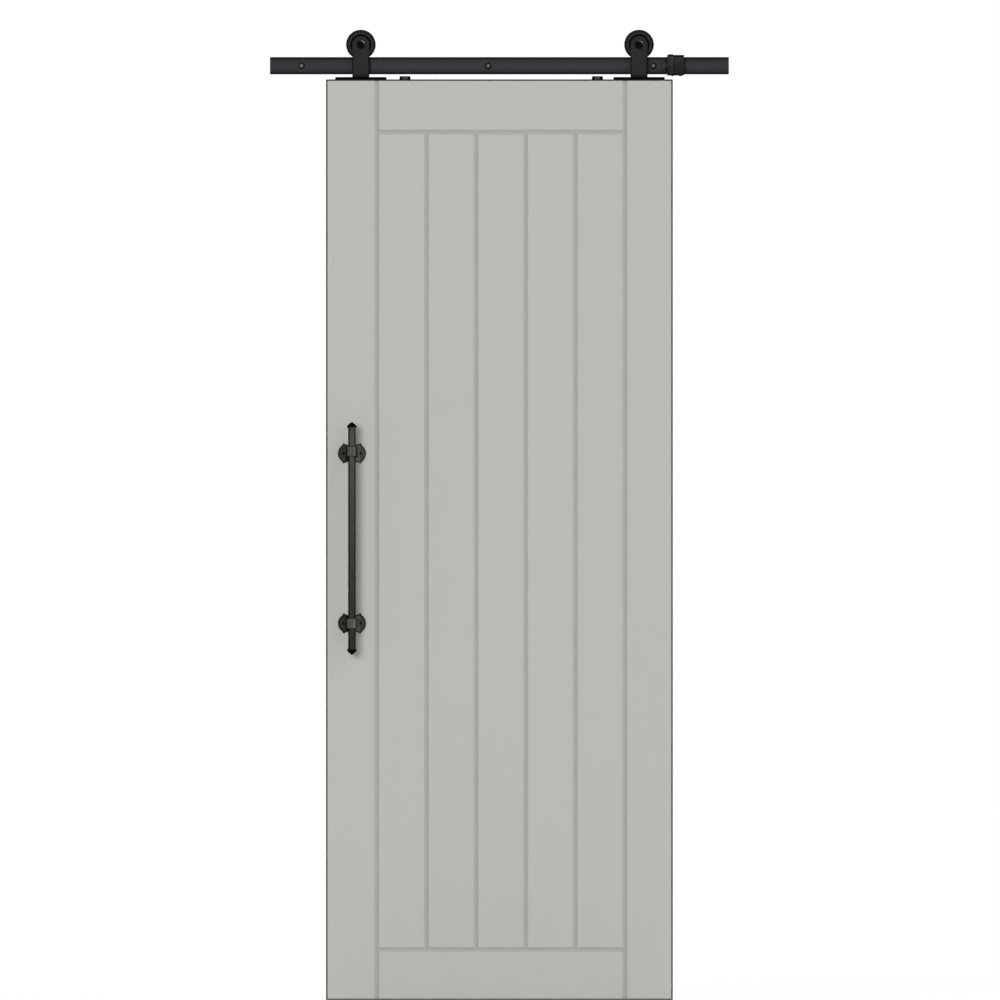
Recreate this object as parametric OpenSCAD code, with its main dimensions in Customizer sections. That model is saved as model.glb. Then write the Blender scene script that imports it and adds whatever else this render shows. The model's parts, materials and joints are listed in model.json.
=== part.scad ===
// Sliding barn door: a flush plank leaf that hangs from a flat steel rail on two roller hangers.
// Millimetres. X runs along the rail to the right, Y runs back into the wall and Z runs up.
// The origin is the point on the wall's surface where the middle rail bolt goes in.

/* [Leaf] */
// Width of the leaf over its edge bands
door_w = 803.5; // [760:0.5:850]
// Height of the leaf over its edge bands
door_h = 2134; // [2000:1:2400]
// Thickness of the leaf
door_t = 35; // [33:0.5:44]
// Thickness of the dark edge band
band_t = 3; // [1:0.5:5]
// Gap between the lower edge of the rail and the top of the leaf
door_gap = 12; // [11:0.5:18]

/* [Boards] */
// Width of the left stile without its band
left_stile_w = 114.5; // [105:0.5:130]
// Width of the right stile without its band
right_stile_w = 108; // [105:0.5:130]
// Height of the top rail without its band
top_rail_h = 119; // [110:1:150]
// Height of the bottom rail without its band
bottom_rail_h = 114; // [105:1:150]
// Width of a V groove where two boards meet
vee_w = 12; // [8:0.5:16]
// Depth of a V groove
vee_d = 6; // [3:0.5:6.5]
// Thickness of the tongues
tongue_t = 10; // [8:0.5:12]
// Length of the tongues
tongue_l = 10; // [8:0.5:12]
// Radius of the dowels between stiles and rails
dowel_r = 6; // [5:0.5:7]
// Length of the dowels
dowel_l = 80; // [60:1:90]

/* [Rail] */
// Length of the rail
rail_l = 1064; // [1040:1:1300]
// Height of the rail
rail_h = 40; // [38:1:46]
// Thickness of the rail
rail_t = 6; // [5:0.5:7]
// Chamfer along the rail's edges
rail_edge = 1; // [0.4:0.1:1.5]
// How far the middle of the rail lies to the right of the middle bolt
rail_shift = 26; // [10:1:40]
// Distance of the left bolt from the left end
left_bolt_inset = 73; // [50:1:100]
// Distance of the right bolt from the right end
right_bolt_inset = 175; // [160:1:190]
// Length of the spacers between wall and rail
spacer_l = 35; // [32:0.5:45]
// Radius of the spacers
spacer_r = 12.5; // [9:0.5:16]
// Radius of the plain shank of a rail bolt
bolt_r = 4; // [3.5:0.1:5]
// Radius of the threaded end of a rail bolt
bolt_thread_r = 3.4; // [2.8:0.1:3.5]
// Length of a rail bolt inside the wall
bolt_reach = 45; // [35:1:70]
// Width of a rail bolt's hex head across its flats
bolt_head_w = 13; // [11:0.5:15]
// Height of a rail bolt's head
bolt_head_h = 5.3; // [4:0.1:6]

/* [Stop] */
// Free run of the door from rest to the stop
stop_run = 41.5; // [30:0.5:60]
// Width of the stop's tall part
stop_head_w = 14.5; // [12:0.5:20]
// Width of the stop's low part
stop_grip_w = 24.5; // [18:0.5:30]
// Height of the tall part above the rail
stop_head_rise = 6.3; // [5:0.1:8]
// Height of the low part above the rail
stop_grip_rise = 4.8; // [3:0.1:4.8]
// Depth of the stop below the rail
stop_base = 2.6; // [2:0.1:3]
// Thickness of the stop in front of the rail
stop_front = 20; // [19:0.5:24]
// Thickness of the stop behind the rail
stop_back = 5; // [3:0.5:8]
// Radius of the rubber buffers
buffer_r = 5.1; // [4:0.1:6]
// Length of the buffers in front of the stop
buffer_l = 3.8; // [3.6:0.1:5]
// Distance between the buffers' centres
buffer_spacing = 19.7; // [15:0.1:22]
// Radius of the set screws
set_screw_r = 3; // [2.5:0.1:3]

/* [Hangers] */
// Distance of the left hanger's centre from the side of the leaf
left_hanger_inset = 80.5; // [70:0.5:90]
// Distance of the right hanger's centre from the side of the leaf
right_hanger_inset = 78; // [70:0.5:90]
// Width of the strap
strap_w = 39.5; // [34:0.5:44]
// Thickness of the strap
strap_t = 6; // [5:0.5:8]
// Gap between the rail's front and the strap
strap_gap = 10; // [8.5:0.5:12]
// Length of the base plate
plate_l = 119; // [116:1:130]
// Depth of the base plate
plate_w = 31; // [28:0.5:32]
// Thickness of the base plate
plate_t = 5.5; // [4:0.5:6]
// Distance of the plate's screws from its middle, along the plate
plate_screw_x = 48; // [44:0.5:50]
// Distance of the plate's screws from its middle, across the plate
plate_screw_y = 8; // [7:0.5:9]
// Length of the plate's screws
plate_screw_l = 45; // [30:1:50]

/* [Wheels] */
// Outer radius of a wheel
wheel_r = 34.3; // [32:0.1:36]
// Width of a wheel
wheel_w = 18; // [16:0.5:20]
// Depth of the groove that runs on the rail
groove_d = 5.6; // [3:0.1:6]
// Room between rail and groove on each side
groove_room = 0.75; // [0.5:0.05:1]
// Radius of the axle bolt
axle_r = 5; // [4.5:0.1:5.5]
// Radius of the axle bolt's head
axle_head_r = 9.8; // [8:0.1:11]
// Height of the axle bolt's head
axle_head_h = 5.5; // [4:0.1:6]
// Outer radius of the bearing
bearing_r = 13; // [12.5:0.1:14]
// Width of the bearing
bearing_w = 8; // [7:0.5:9]
// Radius of a bearing ball
ball_r = 2.4; // [2:0.05:2.6]
// Outer radius of the bushes beside the bearing
bush_r = 7; // [6.5:0.1:7.2]
// Length of the bush behind the bearing
back_bush_l = 6; // [5:0.5:8]
// Width of the axle nut across its flats
nut_w = 17; // [15:0.5:19]
// Height of the axle nut
nut_h = 8; // [6:0.5:10]

/* [Anti-jump discs] */
// Distance of the left disc from the left side of the leaf
left_disc_inset = 183; // [170:1:210]
// Distance of the right disc from the right side of the leaf
right_disc_inset = 174.5; // [160:0.5:210]
// Radius of a disc at its foot
disc_r = 13.1; // [11:0.1:14]
// Height of a disc
disc_h = 7.6; // [6:0.1:9]
// Length of a disc's screw
disc_screw_l = 40; // [30:1:50]

/* [Handle] */
// Length of the handle from tip to tip
handle_l = 539; // [480:1:600]
// Height of the handle's middle above the foot of the leaf
handle_rise = 1070; // [900:1:1200]
// Distance of the handle from the left side of the leaf
handle_inset = 60; // [50:1:70]
// Width of the square bar
bar_w = 17.4; // [14:0.1:18]
// Chamfer along the bar's edges
bar_edge = 2; // [1:0.1:3]
// Finger room between the leaf and the bar
finger_room = 36; // [30:1:50]
// Distance between the two brackets
bracket_spacing = 394; // [340:1:440]
// Width of a bracket plate over its round lobes
bracket_w = 65; // [60:0.5:72]
// Radius of the round lobes
lobe_r = 22.8; // [21.5:0.1:24]
// Height of a bracket plate from cusp to cusp
bracket_h = 47.6; // [44:0.1:49]
// Distance of a cusp from the plate's middle
cusp_x = 20.2; // [19:0.1:22]
// Width of the foot of a cusp
cusp_w = 9; // [7:0.1:10]
// Depth of the hollow between two cusps
cusp_dip = 5.6; // [4:0.1:7]
// Thickness of a bracket plate
bracket_t = 3; // [2.5:0.1:4]
// Width of the stem between plate and collar
stem_w = 13; // [10:0.5:15]
// Height of the stem
stem_h = 19; // [15:0.5:22]
// Wall of the collar round the bar
collar_t = 2; // [1.8:0.1:3]
// Height of the collar
collar_h = 23.5; // [20:0.5:28]
// Chamfer along the collar's upright edges
collar_edge = 3; // [2:0.1:3.4]
// How far the upper collar sits above the middle of its plate
upper_collar_rise = 5; // [0:0.5:6]
// Width of a finial at its widest
finial_w = 23.6; // [20:0.1:28]
// Height of the point of a finial
finial_point = 11; // [8:0.1:14]
// Height of the flare below the point
finial_flare = 3.6; // [3:0.1:6]
// Share of the point's height where its sides bend inwards
finial_bend_share = 0.45; // [0.3:0.01:0.6]
// Share of the finial's width that is left at the bend
finial_bend_width_share = 0.74; // [0.65:0.01:0.9]
// Radius of the pegs that hold the finials
peg_r = 4; // [3:0.1:5]
// Length of the pegs
peg_l = 15; // [10:0.5:20]
// Distance of a bracket screw from the plate's middle
bracket_screw_x = 20; // [18:0.5:21]
// Length of a bracket screw
bracket_screw_l = 28; // [20:1:32]

/* [Screws] */
// Head radius of the hanger and disc screws
plate_head_r = 4.6; // [4:0.1:5]
// Shank radius of the hanger and disc screws
plate_shank_r = 2.4; // [2:0.1:2.8]
// Head radius of the handle screws
bracket_head_r = 3.2; // [2.8:0.1:3.6]
// Shank radius of the handle screws
bracket_shank_r = 1.7; // [1.4:0.1:2]

/* [Hidden] */

// Colours
leaf_colour = "#b8b9b4";
band_colour = "#575853";
rail_colour = "#3a393e";
black_colour = "#27282a";
iron_colour = "#44423e";
steel_colour = "#8f9194";
rubber_colour = "#141414";
dowel_colour = "#c8a878";

// Smoothness of round faces
$fn = 96;
// How far every cut runs past the faces it opens
overrun = 1;
// Clearances
tongue_fit = 0.15;
dowel_fit = 0.05;
bolt_fit = 0.2;
stop_fit = 0.2;
axle_fit = 0.04;
press_fit = 0.02;
ball_fit = 0.06;
screw_fit = 0.1;
bar_fit = 0.1;
peg_fit = 0.05;
// Lift of the wheels over the rail
wheel_lift = 0.3;

// Counts
plank_count = 5;
ball_count = 7;
// Heights of the dowels in a rail, as shares of the rail's height from its inner edge
dowel_shares = [0.24, 0.5];

// Small details of the track
bolt_tip_l = 8;
bolt_crown = 1.4;
stop_nose = 3;
stop_edge = 1;
buffer_rise = 1.6;
buffer_stem_r = 2.6;
buffer_stem_l = 6;
buffer_crown = 1;
set_screw_proud = 1.6;
set_screw_socket_r = 1.6;
// Places of the set screws, as shares of the stop's width
set_screw_shares = [0.32, 0.78];

// Small details of the hangers and wheels
plate_edge = 2;
axle_rim = 1.2;
axle_socket_r = 3.5;
axle_socket_d = 3;
axle_end = 2;
wheel_edge = 1.2;
groove_flare = 1.4;
rim_w = 6;
hub_r = 17.5;
dish_d = 1.5;
lip_w = 1.5;
ring_t = 2.2;
shield_t = 0.5;
shield_inset = 0.3;
shield_room = 0.3;
nut_collar_r = 7.4;
nut_collar_h = 2.4;
disc_top_r = 12.6;
disc_edge = 1.4;

// Small details of the screws
screw_tip_l = 4;
socket_share = 0.45;
socket_depth_share = 0.7;

// Places along Y: the wall is at zero and the front is below zero
rail_back_y = -spacer_l;
rail_mid_y = rail_back_y - rail_t / 2;
rail_front_y = rail_back_y - rail_t;
strap_back_y = rail_front_y - strap_gap;
strap_front_y = strap_back_y - strap_t;
door_y = strap_back_y - strap_t / 2;
door_front_y = door_y - door_t / 2;
bar_y = door_front_y - finger_room - bar_w / 2;

// Places along Z: the middle of the rail is at zero
door_top_z = -rail_h / 2 - door_gap;
door_foot_z = door_top_z - door_h;
groove_r = wheel_r - groove_d;
wheel_z = rail_h / 2 + groove_r + wheel_lift;
handle_z = door_foot_z + handle_rise;

// Places along X
rail_left_x = rail_shift - rail_l / 2;
bolt_places = [rail_left_x + left_bolt_inset, 0, rail_left_x + rail_l - right_bolt_inset];
door_left_x = rail_shift - door_w / 2;
door_right_x = door_left_x + door_w;
left_hanger_x = door_left_x + left_hanger_inset;
right_hanger_x = door_right_x - right_hanger_inset;
hanger_places = [left_hanger_x, right_hanger_x];
disc_places = [door_left_x + left_disc_inset, door_right_x - right_disc_inset];
stop_x = right_hanger_x + strap_w / 2 + stop_run + buffer_l;
handle_x = door_left_x + handle_inset;

// Boards of the leaf inside its bands
core_left_x = door_left_x + band_t;
core_foot_z = door_foot_z + band_t;
core_h = door_h - 2 * band_t;
field_w = door_w - 2 * band_t - left_stile_w - right_stile_w;
field_h = core_h - top_rail_h - bottom_rail_h;
field_x = core_left_x + left_stile_w;
field_z = core_foot_z + bottom_rail_h;
plank_w = field_w / plank_count;

// Bearing
pitch_r = (axle_r + bearing_r) / 2;
front_bush_l = strap_gap + rail_t / 2 - bearing_w / 2;
axle_l = strap_t + front_bush_l + bearing_w + back_bush_l + nut_h + axle_end;

// Stop
stop_w = stop_head_w + stop_grip_w;
stop_low_z = -rail_h / 2 - stop_base;

// Handle brackets
lobe_x = bracket_w / 2 - lobe_r;
dip_r = (cusp_x * cusp_x + cusp_dip * cusp_dip) / (2 * cusp_dip);
bracket_places = [handle_z + bracket_spacing / 2, handle_z - bracket_spacing / 2];
bar_l = handle_l - 2 * (finial_point + finial_flare);

// Turns a flat outline in X and Z into a solid that runs forwards from Y zero
module toward_front(length) {
    rotate([90, 0, 0])
        linear_extrude(length)
            children();
}

// Turns a flat outline in Y and Z into a solid that runs right from X zero
module along_x(length) {
    rotate([90, 0, 90])
        linear_extrude(length)
            children();
}

// Stands a turned piece with its axis along Y, its top towards the front
module facing_front() {
    rotate([90, 0, 0])
        children();
}

// Rectangle with cut corners
module eased_rectangle(width, height, edge) {
    polygon([
        [edge - width / 2, -height / 2], [width / 2 - edge, -height / 2],
        [width / 2, edge - height / 2], [width / 2, height / 2 - edge],
        [width / 2 - edge, height / 2], [edge - width / 2, height / 2],
        [-width / 2, height / 2 - edge], [-width / 2, edge - height / 2]
    ]);
}

// Hexagon of a width across its flats, with a corner straight up
module hexagon(width) {
    rotate(90)
        circle(d = width / cos(30), $fn = 6);
}

// Countersunk wood screw whose head is level with Z zero
module countersunk_screw(head_r, shank_r, length) {
    difference() {
        rotate_extrude()
            polygon([
                [0, 0], [head_r, 0], [shank_r, shank_r - head_r],
                [shank_r, screw_tip_l - length], [0, -length]
            ]);
        translate([0, 0, -socket_depth_share * head_r])
            cylinder(r = socket_share * head_r, h = head_r, $fn = 6);
    }
}

// Hole for a countersunk screw, open above and below
module countersunk_hole(head_r, shank_r, length) {
    rotate_extrude()
        polygon([
            [0, overrun], [head_r + screw_fit, overrun], [head_r + screw_fit, 0],
            [shank_r + screw_fit, shank_r - head_r], [shank_r + screw_fit, -length - overrun],
            [0, -length - overrun]
        ]);
}

// Pilot holes of the hanger and disc screws in the top of the leaf
module leaf_pilots() {
    pilot_l = plate_screw_l + overrun;
    for (hanger_x = hanger_places, side_x = [-1, 1], side_y = [-1, 1])
        translate([
            hanger_x + side_x * plate_screw_x,
            door_y + side_y * plate_screw_y,
            door_top_z + plate_t - pilot_l
        ])
            cylinder(r = plate_shank_r + screw_fit, h = pilot_l + overrun);
    for (disc_x = disc_places)
        translate([disc_x, door_y, door_top_z + disc_h - disc_screw_l - overrun])
            cylinder(r = plate_shank_r + screw_fit, h = disc_screw_l + 2 * overrun);
}

// Dowel places between stiles and rails, with a radius to drill or to fill
module dowel_set(radius, length) {
    for (joint_x = [field_x, field_x + field_w])
        for (share = dowel_shares)
            for (joint_z = [field_z - share * bottom_rail_h, field_z + field_h + share * top_rail_h])
                translate([joint_x - length / 2, door_y, joint_z])
                    rotate([0, 90, 0])
                        cylinder(r = radius, h = length);
}

module dowel_holes() {
    dowel_set(dowel_r + dowel_fit, dowel_l + 2 * dowel_fit);
}

// Pilot holes of the handle screws in the left stile
module handle_pilots() {
    for (plate_z = bracket_places, side = [-1, 1])
        translate([handle_x + side * bracket_screw_x, door_front_y - bracket_t - overrun, plate_z])
            rotate([-90, 0, 0])
                cylinder(r = bracket_shank_r + screw_fit, h = bracket_screw_l + 2 * overrun);
}

// Outline of a board across its thickness, with half a V groove at each end that meets another board
function board_outline(span, low_vee, high_vee) =
    concat(
        low_vee ? [[0, vee_d - door_t / 2], [vee_w / 2, -door_t / 2]] : [[0, -door_t / 2]],
        high_vee ? [[span - vee_w / 2, -door_t / 2], [span, vee_d - door_t / 2]] : [[span, -door_t / 2]],
        high_vee ? [[span, door_t / 2 - vee_d], [span - vee_w / 2, door_t / 2]] : [[span, door_t / 2]],
        low_vee ? [[vee_w / 2, door_t / 2], [0, door_t / 2 - vee_d]] : [[0, door_t / 2]]
    );

// Board from its lower left corner, with V edges at left, right, foot and top where they are asked for
module board(width, height, vees) {
    intersection() {
        linear_extrude(height)
            polygon(board_outline(width, vees[0], vees[1]));
        translate([width, 0, 0])
            rotate([0, -90, 0])
                linear_extrude(width)
                    polygon(board_outline(height, vees[2], vees[3]));
    }
}

// Tongue of a width and height, in the middle of the thickness
module tongue(width, height) {
    translate([0, -tongue_t / 2, 0])
        cube([width, tongue_t, height]);
}

// Cut for a tongue of a width and height
module tongue_cut(width, height) {
    translate([0, -tongue_t / 2 - tongue_fit, 0])
        cube([width, tongue_t + 2 * tongue_fit, height]);
}

module rail() {
    color(rail_colour)
        difference() {
            translate([rail_left_x, rail_mid_y, 0])
                along_x(rail_l)
                    eased_rectangle(rail_t, rail_h, rail_edge);
            for (bolt_x = bolt_places)
                translate([bolt_x, rail_back_y + overrun, 0])
                    facing_front()
                        cylinder(r = bolt_r + bolt_fit, h = rail_t + 2 * overrun);
        }
}

module rail_spacers() {
    color(black_colour)
        for (bolt_x = bolt_places)
            translate([bolt_x, 0, 0])
                facing_front()
                    difference() {
                        cylinder(r = spacer_r, h = spacer_l);
                        translate([0, 0, -overrun])
                            cylinder(r = bolt_r + bolt_fit, h = spacer_l + 2 * overrun);
                    }
}

// Hex head whose corners are turned off to a shallow crown
module hex_head(width, height, crown) {
    corner_r = width / (2 * cos(30));
    intersection() {
        linear_extrude(height)
            hexagon(width);
        rotate_extrude()
            polygon([
                [0, 0], [corner_r + overrun, 0], [corner_r + overrun, height - crown],
                [corner_r, height - crown], [width / 2 - crown, height], [0, height]
            ]);
    }
}

module rail_bolts() {
    grip_l = spacer_l + rail_t;
    color(black_colour)
        for (bolt_x = bolt_places)
            translate([bolt_x, 0, 0])
                facing_front()
                    union() {
                        rotate_extrude()
                            polygon([
                                [0, grip_l], [bolt_r, grip_l], [bolt_r, 0], [bolt_thread_r, 0],
                                [bolt_thread_r, bolt_tip_l - bolt_reach], [0, -bolt_reach]
                            ]);
                        translate([0, 0, grip_l])
                            hex_head(bolt_head_w, bolt_head_h, bolt_crown);
                    }
}

// Outline of the stop from the front: a tall head on the left and a lower grip on the right
module stop_outline() {
    head_z = rail_h / 2 + stop_head_rise;
    grip_z = rail_h / 2 + stop_grip_rise;
    polygon([
        [stop_edge, stop_low_z], [stop_w - stop_edge, stop_low_z],
        [stop_w, stop_low_z + stop_edge], [stop_w, grip_z - stop_edge],
        [stop_w - stop_edge, grip_z], [stop_head_w, grip_z],
        [stop_head_w, head_z], [stop_nose, head_z],
        [0, head_z - stop_nose], [0, stop_low_z + stop_edge]
    ]);
}

// Places of the two buffers, level with the strap
module buffer_places() {
    for (side = [-1, 1])
        translate([stop_x, door_y, buffer_rise + side * buffer_spacing / 2])
            rotate([0, -90, 0])
                children();
}

// Places of the two set screws, below the rail
module set_screw_places() {
    for (share = set_screw_shares)
        translate([stop_x + share * stop_w, rail_mid_y, -rail_h / 2])
            children();
}

module stop_clamp() {
    stop_depth = stop_front + rail_t + stop_back;
    stop_h = rail_h + stop_base + stop_head_rise;
    color(black_colour)
        difference() {
            intersection() {
                translate([stop_x, rail_back_y + stop_back, 0])
                    toward_front(stop_depth)
                        stop_outline();
                translate([stop_x, rail_back_y + stop_back - stop_depth / 2, stop_low_z + stop_h / 2])
                    along_x(stop_w)
                        eased_rectangle(stop_depth, stop_h, stop_edge);
            }
            translate([stop_x - overrun, rail_mid_y, 0])
                along_x(stop_w + 2 * overrun)
                    eased_rectangle(rail_t + 2 * stop_fit, rail_h + 2 * stop_fit, rail_edge);
            buffer_places()
                translate([0, 0, -buffer_stem_l - stop_fit])
                    cylinder(r = buffer_stem_r + stop_fit, h = buffer_stem_l + stop_fit + overrun);
            set_screw_places()
                translate([0, 0, -stop_base - overrun])
                    cylinder(r = set_screw_r + screw_fit, h = stop_base + overrun);
        }
}

module stop_buffers() {
    color(rubber_colour)
        buffer_places()
            rotate_extrude()
                polygon([
                    [0, -buffer_stem_l], [buffer_stem_r, -buffer_stem_l], [buffer_stem_r, 0],
                    [buffer_r, 0], [buffer_r, buffer_l - buffer_crown],
                    [buffer_r - buffer_crown, buffer_l], [0, buffer_l]
                ]);
}

module stop_set_screws() {
    screw_l = stop_base + set_screw_proud;
    color(black_colour)
        set_screw_places()
            translate([0, 0, -screw_l])
                difference() {
                    cylinder(r = set_screw_r, h = screw_l);
                    translate([0, 0, -overrun])
                        cylinder(r = set_screw_socket_r, h = set_screw_proud + overrun, $fn = 6);
                }
}

module left_stile() {
    color(leaf_colour)
        difference() {
            translate([core_left_x, door_y, core_foot_z])
                board(left_stile_w, core_h, [false, true, false, false]);
            translate([field_x - tongue_l - tongue_fit, door_y, field_z])
                tongue_cut(tongue_l + tongue_fit + overrun, field_h);
            dowel_holes();
            leaf_pilots();
            handle_pilots();
        }
}

module right_stile() {
    color(leaf_colour)
        difference() {
            translate([field_x + field_w, door_y, core_foot_z])
                board(right_stile_w, core_h, [true, false, false, false]);
            translate([field_x + field_w - overrun, door_y, field_z])
                tongue_cut(tongue_l + tongue_fit + overrun, field_h);
            dowel_holes();
            leaf_pilots();
        }
}

module top_rail() {
    color(leaf_colour)
        difference() {
            translate([field_x, door_y, field_z + field_h])
                board(field_w, top_rail_h, [true, true, true, false]);
            translate([field_x - overrun, door_y, field_z + field_h - overrun])
                tongue_cut(field_w + 2 * overrun, tongue_l + tongue_fit + overrun);
            dowel_holes();
            leaf_pilots();
        }
}

module bottom_rail() {
    color(leaf_colour)
        difference() {
            translate([field_x, door_y, core_foot_z])
                board(field_w, bottom_rail_h, [true, true, false, true]);
            translate([field_x - overrun, door_y, field_z - tongue_l - tongue_fit])
                tongue_cut(field_w + 2 * overrun, tongue_l + tongue_fit + overrun);
            dowel_holes();
        }
}

// Plank counted from the left: the first has tongues on both sides, the others a groove on the left
module plank(number) {
    first = number == 1;
    tongue_start = first ? -tongue_l : 0;
    color(leaf_colour)
        translate([field_x + (number - 1) * plank_w, door_y, field_z])
            difference() {
                union() {
                    board(plank_w, field_h, [true, true, true, true]);
                    translate([tongue_start, 0, 0])
                        tongue(plank_w + tongue_l - tongue_start, field_h);
                    translate([0, 0, -tongue_l])
                        tongue(plank_w, field_h + 2 * tongue_l);
                }
                if (!first)
                    translate([-overrun, 0, -tongue_l - overrun])
                        tongue_cut(tongue_l + tongue_fit + overrun, field_h + 2 * (tongue_l + overrun));
            }
}

module frame_dowels() {
    color(dowel_colour)
        dowel_set(dowel_r, dowel_l);
}

// Upright band on one side of the leaf
module side_band(band_x) {
    color(band_colour)
        translate([band_x, door_front_y, door_foot_z])
            cube([band_t, door_t, door_h]);
}

// Level band between the two upright ones
module level_band(band_z) {
    color(band_colour)
        difference() {
            translate([core_left_x, door_front_y, band_z])
                cube([door_w - 2 * band_t, door_t, band_t]);
            leaf_pilots();
        }
}

// Strap and base plate of a hanger, welded together
module hanger(hanger_x) {
    color(black_colour)
        difference() {
            union() {
                translate([hanger_x, strap_back_y, 0])
                    toward_front(strap_t)
                        union() {
                            translate([-strap_w / 2, door_top_z + plate_t / 2])
                                square([strap_w, wheel_z - door_top_z - plate_t / 2]);
                            translate([0, wheel_z])
                                circle(d = strap_w);
                        }
                translate([hanger_x, door_y + plate_w / 2, door_top_z])
                    toward_front(plate_w)
                        polygon([
                            [-plate_l / 2, 0], [plate_l / 2, 0],
                            [plate_l / 2, plate_t - plate_edge], [plate_l / 2 - plate_edge, plate_t],
                            [plate_edge - plate_l / 2, plate_t], [-plate_l / 2, plate_t - plate_edge]
                        ]);
            }
            translate([hanger_x, strap_back_y + overrun, wheel_z])
                facing_front()
                    cylinder(r = axle_r + axle_fit, h = strap_t + 2 * overrun);
            for (side_x = [-1, 1], side_y = [-1, 1])
                translate([
                    hanger_x + side_x * plate_screw_x,
                    door_y + side_y * plate_screw_y,
                    door_top_z + plate_t
                ])
                    countersunk_hole(plate_head_r, plate_shank_r, plate_t);
        }
}

module hanger_screws() {
    color(black_colour)
        for (hanger_x = hanger_places, side_x = [-1, 1], side_y = [-1, 1])
            translate([
                hanger_x + side_x * plate_screw_x,
                door_y + side_y * plate_screw_y,
                door_top_z + plate_t
            ])
                countersunk_screw(plate_head_r, plate_shank_r, plate_screw_l);
}

// Puts a turned piece on a hanger's axle, its axis along Y and its zero at the rail's middle plane
module on_axle(hanger_x) {
    translate([hanger_x, rail_mid_y, wheel_z])
        facing_front()
            children();
}

// Button head with a hex socket and a straight shank
module axle_bolts() {
    head_z = strap_t + front_bush_l + bearing_w / 2;
    dome_h = axle_head_h - axle_rim;
    dome_r = (dome_h * dome_h + axle_head_r * axle_head_r) / (2 * dome_h);
    color(black_colour)
        for (hanger_x = hanger_places)
            on_axle(hanger_x)
                difference() {
                    union() {
                        translate([0, 0, head_z])
                            rotate_extrude()
                                intersection() {
                                    square([axle_head_r, axle_head_h]);
                                    translate([0, axle_head_h - dome_r])
                                        circle(dome_r);
                                }
                        translate([0, 0, head_z - axle_l])
                            cylinder(r = axle_r, h = axle_l + axle_rim);
                    }
                    translate([0, 0, head_z + axle_head_h - axle_socket_d])
                        linear_extrude(axle_socket_d + overrun)
                            hexagon(2 * axle_socket_r);
                }
}

// Sleeve on the axle from one height to another
module bush(low, high) {
    translate([0, 0, low])
        difference() {
            cylinder(r = bush_r, h = high - low);
            translate([0, 0, -overrun])
                cylinder(r = axle_r + axle_fit, h = high - low + 2 * overrun);
        }
}

module axle_bushes() {
    color(steel_colour)
        for (hanger_x = hanger_places)
            on_axle(hanger_x) {
                bush(bearing_w / 2, bearing_w / 2 + front_bush_l);
                bush(-bearing_w / 2 - back_bush_l, -bearing_w / 2);
            }
}

module axle_nuts() {
    color(steel_colour)
        for (hanger_x = hanger_places)
            on_axle(hanger_x)
                translate([0, 0, -bearing_w / 2 - back_bush_l - nut_h])
                    difference() {
                        union() {
                            translate([0, 0, nut_collar_h])
                                linear_extrude(nut_h - nut_collar_h)
                                    hexagon(nut_w);
                            cylinder(r = nut_collar_r, h = nut_h - nut_collar_h);
                        }
                        translate([0, 0, -overrun])
                            cylinder(r = axle_r + axle_fit, h = nut_h + 2 * overrun);
                    }
}

// Ring of the bearing between two radii, with the ball track cut into it
module bearing_ring(hanger_x, low_r, high_r) {
    color(steel_colour)
        on_axle(hanger_x)
            rotate_extrude()
                difference() {
                    translate([low_r, -bearing_w / 2])
                        square([high_r - low_r, bearing_w]);
                    translate([pitch_r, 0])
                        circle(ball_r + ball_fit);
                }
}

module inner_ring(hanger_x) {
    bearing_ring(hanger_x, axle_r + axle_fit, axle_r + ring_t);
}

module outer_ring(hanger_x) {
    bearing_ring(hanger_x, bearing_r - ring_t, bearing_r);
}

// Thin covers on both sides of the balls, held by the outer ring
module shields(hanger_x) {
    inner_r = axle_r + ring_t + shield_room;
    outer_r = bearing_r - ring_t - press_fit;
    color(steel_colour)
        on_axle(hanger_x)
            for (low = [bearing_w / 2 - shield_inset - shield_t, shield_inset - bearing_w / 2])
                translate([0, 0, low])
                    difference() {
                        cylinder(r = outer_r, h = shield_t);
                        translate([0, 0, -overrun])
                            cylinder(r = inner_r, h = shield_t + 2 * overrun);
                    }
}

module balls(hanger_x) {
    color(steel_colour)
        on_axle(hanger_x)
            for (number = [0 : ball_count - 1])
                rotate(360 / ball_count * number)
                    translate([pitch_r, 0, 0])
                        sphere(ball_r);
}

// Grooved wheel: two flanges round the rail, dished faces and a pocket for the bearing
module wheel(hanger_x) {
    half_w = wheel_w / 2;
    groove_half = rail_t / 2 + groove_room;
    rim_r = wheel_r - rim_w;
    seat_r = bearing_r + press_fit;
    lip_r = bearing_r - lip_w;
    color(black_colour)
        on_axle(hanger_x)
            rotate_extrude()
                polygon([
                    [lip_r, half_w], [hub_r, half_w],
                    [hub_r, half_w - dish_d], [rim_r, half_w - dish_d], [rim_r, half_w],
                    [wheel_r - wheel_edge, half_w], [wheel_r, half_w - wheel_edge],
                    [wheel_r, groove_half + groove_flare], [groove_r, groove_half],
                    [groove_r, -groove_half], [wheel_r, -groove_half - groove_flare],
                    [wheel_r, wheel_edge - half_w], [wheel_r - wheel_edge, -half_w],
                    [rim_r, -half_w], [rim_r, dish_d - half_w], [hub_r, dish_d - half_w],
                    [hub_r, -half_w], [seat_r, -half_w],
                    [seat_r, bearing_w / 2], [lip_r, bearing_w / 2]
                ]);
}

// Disc on the top of the leaf that keeps the door from jumping off the rail
module disc(disc_x) {
    color(black_colour)
        translate([disc_x, door_y, door_top_z])
            difference() {
                rotate_extrude()
                    polygon([
                        [0, 0], [disc_r, 0], [disc_top_r, disc_h - disc_edge],
                        [disc_top_r - disc_edge, disc_h], [0, disc_h]
                    ]);
                translate([0, 0, disc_h])
                    countersunk_hole(plate_head_r, plate_shank_r, disc_h);
            }
}

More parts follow.
